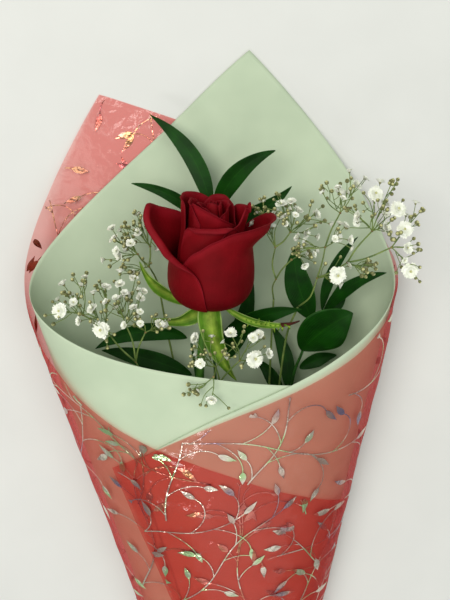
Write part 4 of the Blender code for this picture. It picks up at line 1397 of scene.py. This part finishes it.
@dataclass
class RoseHead:
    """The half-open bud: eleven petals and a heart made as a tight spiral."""

    petals: tuple = (
        Petal(
            "outer_left", Cup.OUTER,
            (
                (-160, 40), (-135, 50), (-112, 56), (-97, 60.5), (-90, 59), (-80, 49), (-68, 39.5),
                (-48, 36.5), (-32, 34), (-18, 30.5), (-9, 23), (-3, 9),
            ),
            (
                (-160, 30, 2), (-115, 50, 2.5), (-97, 70, 3.5), (-84, 130, 5), (-66, 170, 6.5), (-40, 165, 6),
                (-24, 130, 4), (-14, 40, 2), (-3, 10, 1),
            ),
            0.9, 14.0, -90, 36.0, 30.0, 56.0, 0.15,
        ),
        Petal(
            "outer_right", Cup.OUTER,
            (
                (-48, 30), (-31, 39.5), (-16, 44), (-2, 48), (12, 51), (27, 54), (46, 56), (65, 57.5),
                (90, 58), (112, 55), (135, 42),
            ),
            ((-48, 10, 2), (0, 70, 2.6), (40, 80, 3.2), (62, 85, 4), (82, 80, 5), (98, 80, 5), (135, 30, 3)),
            0.9, 10.5, 84, 40.0, 38.0, 54.0, 0.1,
        ),
        Petal(
            "outer_back", Cup.OUTER,
            ((112, 34), (135, 48), (160, 56), (185, 56), (210, 47), (228, 34)),
            ((112, 40, 3), (170, 70, 4), (228, 40, 3)), 0.75, 0.0,
        ),
        Petal(
            "middle_front", Cup.MIDDLE,
            ((-62, 40), (-55, 49), (-44, 53.5), (-30, 55), (0, 56.2), (34, 55.5), (62, 49)),
            ((-62, 20, 1), (-46, 70, 2), (-24, 185, 5.5), (20, 190, 6), (38, 110, 3.5), (62, 50, 2)),
            -0.7, 1.2, 0, 40.0, ruffle=0.1,
        ),
        Petal(
            "middle_right", Cup.MIDDLE,
            (
                (6, 44), (18, 51), (38, 55.5), (56, 59), (68, 64), (78, 61), (88, 65), (104, 61), (135, 58),
                (172, 46),
            ),
            ((6, 50, 2), (40, 80, 3), (70, 60, 2), (100, 70, 3), (172, 40, 2)),
            -0.9, 2.2, 84, 30.0, 48.0, 62.0, ruffle=0.5,
        ),
        Petal(
            "middle_left", Cup.MIDDLE,
            ((-200, 50), (-170, 60), (-130, 65), (-90, 66), (-72, 65.5), (-64, 62), (-60, 50), (-58, 42)),
            ((-200, 20, 2), (-110, 50, 2.5), (-64, 40, 1.5), (-58, 30, 1)), -0.3, 0.8, -100, 34.0, 48.0, 62.0,
        ),
        Petal(
            "inner_front", Cup.INNER,
            ((-72, 60), (-58, 65), (-26, 64.5), (3, 62), (34, 57.5), (62, 53), (88, 47)),
            ((-72, 40, 2), (-26, 60, 2.2), (34, 90, 2.5), (88, 40, 2)), 0.2, 1.0, 20, 50.0, 48.0, 62.0, 0.1,
        ),
        Petal(
            "inner_back", Cup.INNER,
            ((95, 50), (120, 59), (150, 63), (180, 63), (205, 58), (225, 50)),
            ((95, 20, 2), (150, 60, 2.5), (225, 20, 2)),
        ),
        Petal(
            "inner_left", Cup.INNER,
            ((-165, 52), (-140, 60), (-110, 64), (-80, 64), (-50, 62), (-28, 55)),
            ((-165, 20, 2), (-90, 50, 2.2), (-28, 20, 2)),
        ),
        Petal(
            "core_right", Cup.CORE,
            ((4, 56), (30, 58), (60, 61), (100, 63), (150, 62), (196, 54)),
            ((4, 40, 2), (100, 60, 2), (196, 20, 1.5)),
        ),
        Petal(
            "core_left", Cup.CORE,
            ((-176, 54), (-140, 60), (-80, 63.5), (-30, 63), (16, 59)),
            ((-176, 20, 1.5), (-80, 60, 2), (16, 30, 2)),
        ),
    )
    thickness: float = 0.34
    heart_turns: float = 2.9

    def build(self, head: RoseFrame) -> None:
        """Makes each petal, then the heart as a tight spiral of petals.

        Args:
            head: The rose head's frame.
        """
        velvet = [VelvetPetal()]
        for petal in self.petals:
            mesh = Gatherer()
            mesh.add_grid(petal.grid(head))
            node = f"petal_{petal.name}"
            mesh.build(f"rose_{node}", "petal", [node], velvet, self.thickness)
        turns = np.linspace(0, self.heart_turns * 360, 170)
        stations = np.linspace(0, 1, 30)
        profile = through(Cup.HEART.value, 30)
        shrink = np.linspace(1.12, 0.16, len(turns))[:, None]
        radius = profile[None, :, 0] * shrink
        height = profile[None, :, 1] + 1.3 * np.sin(np.radians(turns) * 1.5)[:, None] * stations[None, :] ** 4
        spiral = head.place(radius, np.repeat(turns[:, None] + 40, 30, axis=1), height)
        mesh = Gatherer()
        mesh.add_grid(spiral)
        mesh.build("rose_heart_spiral", "petal", ["rose_heart"], velvet, self.thickness)


# ---------------------------------------------------------------- gypsophila


class Bloom(Enum):
    """How open a gypsophila flower is."""

    OPEN = "open"
    SIDE = "side"
    BUDS = "buds"


class Part(Enum):
    """Material slots of a spray."""

    STALK = 0
    JOINT = 1
    PETAL = 2
    HEART = 3
    BUD = 4


@dataclass
class Spray:
    """One gypsophila spray: its free route, its forks and its flowers.

    A fork is its place and the number of the fork below it, -1 for the stem's end. A flower is its
    place, its fork and its radius.
    """

    name: str
    slot_angle: float
    route: tuple
    forks: tuple
    flowers: tuple
    shoots: int = 13


SPRAYS = (
    Spray(
        "gypsophila_left_back", 180,
        ((-5, -240, 14), (-16, -150, 15), (-28, -70, 16), (-35, -30, 18), (-39, 0, 25)),
        (((-44, 12, 30), -1), ((-50, 20, 33), 0), ((-43, 24, 31), 0)),
        (
            ((-63, 29, 35), 1, 3.2), ((-60, 20, 38), 1, 3.2), ((-56, 29, 30), 1, 2.8),
            ((-49, 33, 34), 2, 3.2), ((-41, 33, 34), 2, 2.6), ((-50, 42, 30), 2, 2.8),
            ((-52, 10, 36), 0, 2.6),
        ),
    ),
    Spray(
        "gypsophila_left", 135,
        ((-3, -240, 24), (-16, -150, 36), (-32, -85, 50), (-44, -52, 58)),
        (
            ((-50, -36, 60), -1), ((-66, -16, 62), 0), ((-78, -8, 62), 1), ((-55, -14, 60), 0),
            ((-44, -18, 62), 0),
        ),
        (
            ((-90, -4, 68), 2, 4.2), ((-84, 2, 58), 2, 2.8), ((-78, 7, 56), 2, 2.8), ((-72, -3, 68), 1, 3.4),
            ((-67, -13, 74), 1, 4.6), ((-66, 6, 55), 1, 3.0), ((-58, 8, 57), 3, 3.0), ((-50, 10, 50), 3, 2.6),
            ((-47, 0, 56), 3, 3.0), ((-36, -13, 64), 4, 3.2), ((-48, -8, 68), 4, 2.6),
            ((-59, -3, 64), 3, 2.6),
        ),
    ),
    Spray(
        "gypsophila_front", 90,
        ((4, -240, 26), (-3, -150, 41), (-5, -90, 55), (-4, -60, 65)),
        (((-3, -44, 71), -1), ((-5, -33, 77), 0), ((8, -30, 75), 0), ((-6, -34, 90), 1)),
        (
            ((-16, -17, 76), 1, 3.4), ((3, -13, 81), 2, 3.4), ((18, -15, 77), 2, 3.0),
            ((16, -26, 84), 2, 4.6), ((0, -24, 85), 1, 2.8), ((-7, -45, 94), 3, 3.2),
            ((-14, -40, 93), 3, 2.0), ((-14, -29, 84), 1, 2.0),
        ),
        5,
    ),
    Spray(
        "gypsophila_right", 45,
        ((20, -240, 22), (26, -150, 25), (31, -80, 28), (36, -32, 30), (42, -10, 38)),
        (
            ((51, 11, 54), -1), ((54, 30, 62), 0), ((66, 22, 64), 0), ((78, 40, 68), 2), ((88, 32, 72), 2),
            ((62, 48, 58), 1),
        ),
        (
            ((60, 17, 73), 0, 4.6), ((42, 30, 62), 1, 2.8), ((60, 36, 66), 1, 3.0), ((74, 19, 67), 2, 2.6),
            ((79, 60, 68), 3, 4.2), ((90, 53, 75), 3, 4.2), ((70, 48, 70), 3, 3.2), ((84, 43, 74), 3, 3.4),
            ((93, 43, 79), 4, 4.0), ((95, 33, 78), 4, 3.2), ((97, 21, 80), 4, 4.2), ((100, 52, 80), 4, 1.8),
            ((70, 63, 58), 5, 3.2), ((62, 58, 53), 5, 3.4), ((53, 58, 52), 5, 2.6), ((86, 65, 72), 3, 2.0),
        ),
    ),
    Spray(
        "gypsophila_right_inner", 0,
        ((21, -240, 17), (25, -150, 19), (26.5, -80, 21), (28, -30, 23), (28.5, -8, 28)),
        (((29, 7, 40), -1), ((28, 27, 47), 0), ((37, 20, 48), 0), ((36, 36, 50), 1)),
        (
            ((44, 36, 53), 3, 3.4), ((40, 48, 50), 3, 3.2), ((31, 51, 48), 3, 3.2), ((21, 52, 45), 1, 2.6),
            ((19, 45, 40), 1, 2.6), ((50, 46, 50), 3, 3.0), ((33, 42, 56), 3, 2.6), ((30, 45, 57), 1, 2.6),
            ((45, 24, 52), 2, 2.0),
        ),
    ),
)


@dataclass
class Gypsophila:
    """Grows the sprays: fine forked stalks, double flowers of ragged petals, and many small buds.

    A whorl is its number of petals, their share of the radius and their rise in degrees. The rose's room
    is balls in the head's frame, each with its reach, angle, height and radius.
    """

    stems: Stems
    seed: int = 23
    whorls: tuple = ((11, 1.0, 2), (10, 0.86, 22), (8, 0.66, 42), (6, 0.42, 62))
    petal_share: float = 0.64
    notch: float = 0.1
    bud_radius: float = 1.15
    floret_share: float = 0.5
    clearance: float = 0.5
    stem_radii: tuple[float, float] = (0.9, 0.6)
    fork_radii: tuple[float, float] = (0.55, 0.42)
    stalk_radii: tuple[float, float] = (0.36, 0.24)
    joint_radius: float = 0.72
    open_from: float = 4.0  # radius from which a flower is fully open, and half open below
    side_from: float = 3.0
    floret_radii: tuple[float, float] = (2.1, 3.4)
    shoot_lengths: tuple[float, float] = (5.5, 13.5)
    shoot_spread: float = 0.42
    twin_share: float = 0.6
    highest: float = 93.0
    rose_room: tuple = (
        (0, 0, 16, 22), (0, 0, 34, 24), (0, 0, 52, 22), (29, 84, 51, 12), (29, -88, 51, 12),
    )

    def build(self, head: RoseFrame) -> None:
        """Makes each spray as one piece, with its shoots clear of the rose.

        Args:
            head: The rose head's frame.
        """
        rng = np.random.default_rng(self.seed)
        rose = [(head.place(reach, turn, high), size) for reach, turn, high, size in self.rose_room]
        skins = [FINE_STEM, NODE_SKIN, FLOWER_PETAL, FLOWER_HEART, BUD_SKIN]
        for spray in SPRAYS:
            mesh = Gatherer()
            self.grow(mesh, spray, rose, rng)
            mesh.build(spray.name.replace("gypsophila", "baby_breath"), "gypsophila", [spray.name], skins)

    def grow(self, mesh: Gatherer, spray: Spray, rose: Balls, rng: Rng) -> None:
        """Adds a spray's stem, forks, stalks and blooms.

        Args:
            mesh: Where they are added.
            spray: The spray.
            rose: Balls that stand for the rose, each a middle and a radius.
            rng: The sprays' random source.
        """
        route = self.stems.route(spray.slot_angle, spray.route)
        mesh.add_tube(through(route, 70), np.linspace(*self.stem_radii, 70), 8, Part.STALK.value)
        tops = []
        for place, below in spray.forks:
            start = route[-1] if below < 0 else tops[below]
            self.stalk(mesh, start, np.array(place, float), *self.fork_radii, rng)
            tops.append(np.array(place, float))
            self.ball(mesh, tops[-1], self.joint_radius, Part.JOINT)
        taken = rose + [(np.array(place, float), radius) for place, _, radius in spray.flowers]
        for place, fork, radius in spray.flowers:
            place = np.array(place, float)
            self.stalk(mesh, tops[fork], place, *self.stalk_radii, rng)
            along = unit(place - tops[fork])
            form = Bloom.OPEN if radius >= self.open_from else Bloom.BUDS
            form = Bloom.SIDE if self.side_from <= radius < self.open_from else form
            self.bloom(mesh, place, along, radius, form, rng)
            self.side_shoots(mesh, tops[fork], place, taken, spray.shoots, rng)

    def stalk(self, mesh: Gatherer, start: Array, end: Array, thick: float, thin: float, rng: Rng) -> None:
        """Adds a slightly bent stalk.

        Args:
            mesh: Where it is added.
            start: Its foot.
            end: Its top.
            thick: Its radius at the foot.
            thin: Its radius at the top.
            rng: The sprays' random source.
        """
        bend = rng.normal(0, 0.045, 3) * np.linalg.norm(end - start)
        line = through([start, (start + end) / 2 + bend, end], 9)
        mesh.add_tube(line, np.linspace(thick, thin, 9), 6, Part.STALK.value)

    def side_shoots(
        self, mesh: Gatherer, fork: Array, place: Array, taken: Balls, tries: int, rng: Rng
    ) -> None:
        """Adds thin shoots beside a flower's own stalk, each with a bud or a small half-open flower.

        Args:
            mesh: Where they are added.
            fork: Where the flower's stalk starts.
            place: The flower's middle.
            taken: The middles and radii of the blooms so far, which new ones keep clear of.
            tries: About how many shoots are tried. Those without room are left out.
            rng: The sprays' random source.
        """
        length = float(np.linalg.norm(place - fork))
        for _ in range(int(rng.integers(tries, tries + 8))):
            root = fork + (place - fork) * rng.uniform(0.15, 0.75)
            way = unit(unit(place - fork) + rng.normal(0, self.shoot_spread, 3) + np.array([0, 0.14, 0]))
            tip = root + way * min(rng.uniform(*self.shoot_lengths), length * 1.15)
            tip[2] = min(tip[2], self.highest)
            open_one = rng.random() < self.floret_share
            radius = rng.uniform(*self.floret_radii) if open_one else self.bud_radius
            if any(np.linalg.norm(tip - other) < radius + size + self.clearance for other, size in taken):
                continue
            taken.append((tip, radius))
            self.stalk(mesh, root, tip, 0.25, 0.19, rng)
            if open_one:
                self.flower(mesh, tip, way, radius, rng.uniform(12, 40), rng)
                continue
            self.bud(mesh, tip, way, rng.uniform(0.75, 1.1) * self.bud_radius)
            if rng.random() < self.twin_share:
                twin = unit(way + rng.normal(0, 0.6, 3))
                joint = root + (tip - root) * 0.55
                end = joint + twin * rng.uniform(2.8, 5.5)
                self.stalk(mesh, joint, end, 0.2, 0.18, rng)
                self.bud(mesh, end, twin, rng.uniform(0.65, 1.0) * self.bud_radius)

    def ball(self, mesh: Gatherer, centre: Array, radius: float, part: Part) -> None:
        """Adds a small knob.

        Args:
            mesh: Where it is added.
            centre: Its middle.
            radius: Its radius.
            part: Its material slot.
        """
        line = centre + np.linspace(-1, 1, 7)[:, None] * np.array([0, radius, 0])
        mesh.add_tube(line, radius * np.sqrt(np.clip(1 - np.linspace(-1, 1, 7) ** 2, 0.02, 1)), 8, part.value)

    def bud(self, mesh: Gatherer, place: Array, along: Array, radius: float) -> None:
        """Adds a round bud: a calyx below and a cream tip above.

        Args:
            mesh: Where it is added.
            place: Its foot.
            along: Where it points.
            radius: Its radius.
        """
        t = np.linspace(0, 1, 9)
        line = place + along * (t[:, None] * 2.1 * radius - 0.3 * radius)
        shape = radius * np.sqrt(np.clip(1 - (2 * t - 1) ** 2, 0.03, 1))
        mesh.add_tube(line[:7], shape[:7] * 1.04, 8, Part.BUD.value)
        mesh.add_tube(line[6:], shape[6:] * 0.9, 8, Part.HEART.value)

    def bloom(
        self, mesh: Gatherer, place: Array, along: Array, radius: float, form: Bloom, rng: Rng
    ) -> None:
        """Adds a flower, with a knot of buds where it is hardly open.

        Args:
            mesh: Where it is added.
            place: The flower's middle.
            along: The stalk's direction.
            radius: The flower's radius.
            form: How open it is.
            rng: The sprays' random source.
        """
        if form is Bloom.BUDS:
            for _ in range(4):
                way = unit(along + rng.normal(0, 0.6, 3))
                tip = place + way * rng.uniform(1.0, radius)
                self.stalk(mesh, place - along, tip, 0.2, 0.18, rng)
                self.bud(mesh, tip, way, self.bud_radius * rng.uniform(0.7, 1.1))
            way = unit(along + rng.normal(0, 0.3, 3))
            self.flower(mesh, place, way, radius * 0.85, 26.0, rng)
            return
        facing = np.array([0, 0, 1.0]) if form is Bloom.OPEN else np.array([0, 0, 0.25])
        way = unit(along * 0.6 + facing * 1.2 + rng.normal(0, 0.2, 3))
        self.flower(mesh, place, way, radius * 1.12, 0.0 if form is Bloom.OPEN else 22.0, rng)

    def flower(
        self, mesh: Gatherer, centre: Array, way: Array, radius: float, close: float, rng: Rng
    ) -> None:
        """Adds a double flower: whorls of notched petals, a heart and a calyx.

        Args:
            mesh: Where it is added.
            centre: The flower's middle.
            way: The direction that it faces.
            radius: The open flower's radius.
            close: How many degrees its petals are still shut.
            rng: The sprays' random source.
        """
        side = unit(np.cross(way, (0.3, 0.9, 0.1)))
        other = np.cross(way, side)
        along = np.linspace(0, 1, 5)
        across = np.array([-1.0, -0.5, 0.0, 0.5, 1.0])
        for count, share, rise in self.whorls:
            for index in range(count):
                turn = 2 * math.pi * (index + rng.uniform(-0.25, 0.25)) / count + rise
                tilt = math.radians(min(rise + close + rng.uniform(-8, 8), 86))
                out = side * math.cos(turn) + other * math.sin(turn)
                tangent = other * math.cos(turn) - side * math.sin(turn)
                length = radius * share * rng.uniform(0.86, 1.08)
                width = radius * self.petal_share * share**0.4 * rng.uniform(0.85, 1.1)
                profile = width * (0.22 + 0.78 * np.sin(along * 1.9) ** 0.8)
                edge = 0.2 * across**2 + self.notch * rng.uniform(0.2, 1.4) * np.cos(across * 2 * math.pi)
                reach = length * along[None, :] * (1 - edge[:, None] * (along**2)[None, :])
                lift = math.sin(tilt) * reach + 0.1 * radius * np.sin(along * math.pi)[None, :]
                cup = 0.12 * radius * (across**2)[:, None] * along[None, :]
                grid = (
                    centre
                    + out * (reach * math.cos(tilt))[..., None]
                    + way * (lift + cup - 0.18 * radius)[..., None]
                    + tangent * (across[:, None] * profile[None, :] * 0.5)[..., None]
                )
                mesh.add_grid(grid, Part.PETAL.value)
        self.bud(mesh, centre + way * 0.12 * radius, way, 0.1 * radius)
        base = centre - way * 0.42 * radius
        line = base + way * np.linspace(0, 0.34 * radius, 6)[:, None]
        mesh.add_tube(line, np.linspace(0.08, 0.3, 6) * radius, 8, Part.BUD.value)
        self.ball(mesh, centre + way * 0.16 * radius, 0.15 * radius, Part.HEART)


# ---------------------------------------------------------------- stage


@dataclass
class Stage:
    """A pale table top, soft light from above and the camera that looks down on the bouquet."""

    floor_size: float = 5.0
    camera_tilt: float = 15.0
    camera_distance: float = 495.0
    aim: Point = (0.0, 0.0, 60.0)
    lens: float = 54.0
    sky: str = "#b6b9b6"
    sky_strength: float = 0.86
    lights: tuple = (
        ("window", (-0.42, 0.4, 1.3), 0.7, 11.5, "#fffaf2"),
        ("ceiling", (0.5, 0.3, 1.5), 0.9, 6.0, "#f8fff6"),
        ("glint", (-0.36, -0.85, 0.95), 0.2, 1.6, "#ffffff"),
        ("panel", (0.2, -0.95, 0.85), 0.9, 1.3, "#ffffff"),
    )

    def build(self) -> None:
        """Makes the floor, the world, the lights and the camera."""
        scene = bpy.context.scene
        bpy.ops.mesh.primitive_plane_add(size=self.floor_size, location=(0, 0, -0.0002))
        floor = bpy.context.object
        floor.name = "table_top"
        floor.data.materials.append(TABLE_TOP.build())
        world = bpy.data.worlds.new("studio")
        scene.world = world
        world.use_nodes = True
        background = world.node_tree.nodes["Background"]
        background.inputs["Color"].default_value = linear(self.sky)
        background.inputs["Strength"].default_value = self.sky_strength
        for light in self.lights:
            self.area(*light)
        self.camera()
        scene.view_settings.view_transform = "Standard"

    def target(self) -> Vector:
        """Returns the place that the camera and the lights are aimed at, in metres."""
        return Vector(((np.array(self.aim) + SHIFT) * MM).tolist())

    def area(self, name: str, place: tuple, size: float, power: float, colour: str) -> None:
        """Adds a square soft light aimed at the rose.

        Args:
            name: The light's name.
            place: Where it hangs, in metres from the rose.
            size: Its side in metres.
            power: Its power in watts.
            colour: Its hex colour.
        """
        light = bpy.data.lights.new(name, "AREA")
        light.size = size
        light.energy = power
        light.color = linear(colour)[:3]
        lamp = bpy.data.objects.new(name, light)
        bpy.context.scene.collection.objects.link(lamp)
        lamp.location = Vector(place) + self.target()
        lamp.rotation_euler = (-Vector(place)).to_track_quat("-Z", "Y").to_euler()

    def camera(self) -> None:
        """Makes the camera, tilted from straight down towards the cut stems."""
        tilt = math.radians(self.camera_tilt)
        forward = Vector((0, -math.sin(tilt), -math.cos(tilt)))
        up = Vector((0, math.cos(tilt), -math.sin(tilt)))
        place = self.target() - forward * self.camera_distance * MM
        data = bpy.data.cameras.new("looking_down")
        data.lens = self.lens
        data.sensor_width = 36.0
        camera = bpy.data.objects.new("looking_down", data)
        bpy.context.scene.collection.objects.link(camera)
        right = forward.cross(up)
        turned = Matrix((right, up, -forward)).transposed().to_4x4()
        camera.matrix_world = Matrix.Translation(place) @ turned
        bpy.context.scene.camera = camera


def main() -> None:
    """Builds the bouquet round its frame, then the stage."""
    logging.basicConfig(level=logging.INFO, format="%(message)s")
    for item in list(bpy.data.objects):
        bpy.data.objects.remove(item, do_unlink=True)
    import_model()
    cone = Cone()
    stems = Stems(cone)
    head = RoseFrame()
    Wrap(cone).build()
    stems.build()
    Foliage().build()
    Calyx().build(head)
    RoseHead().build(head)
    Gypsophila(stems).build(head)
    Stage().build()


if __name__ == "__main__":
    main()
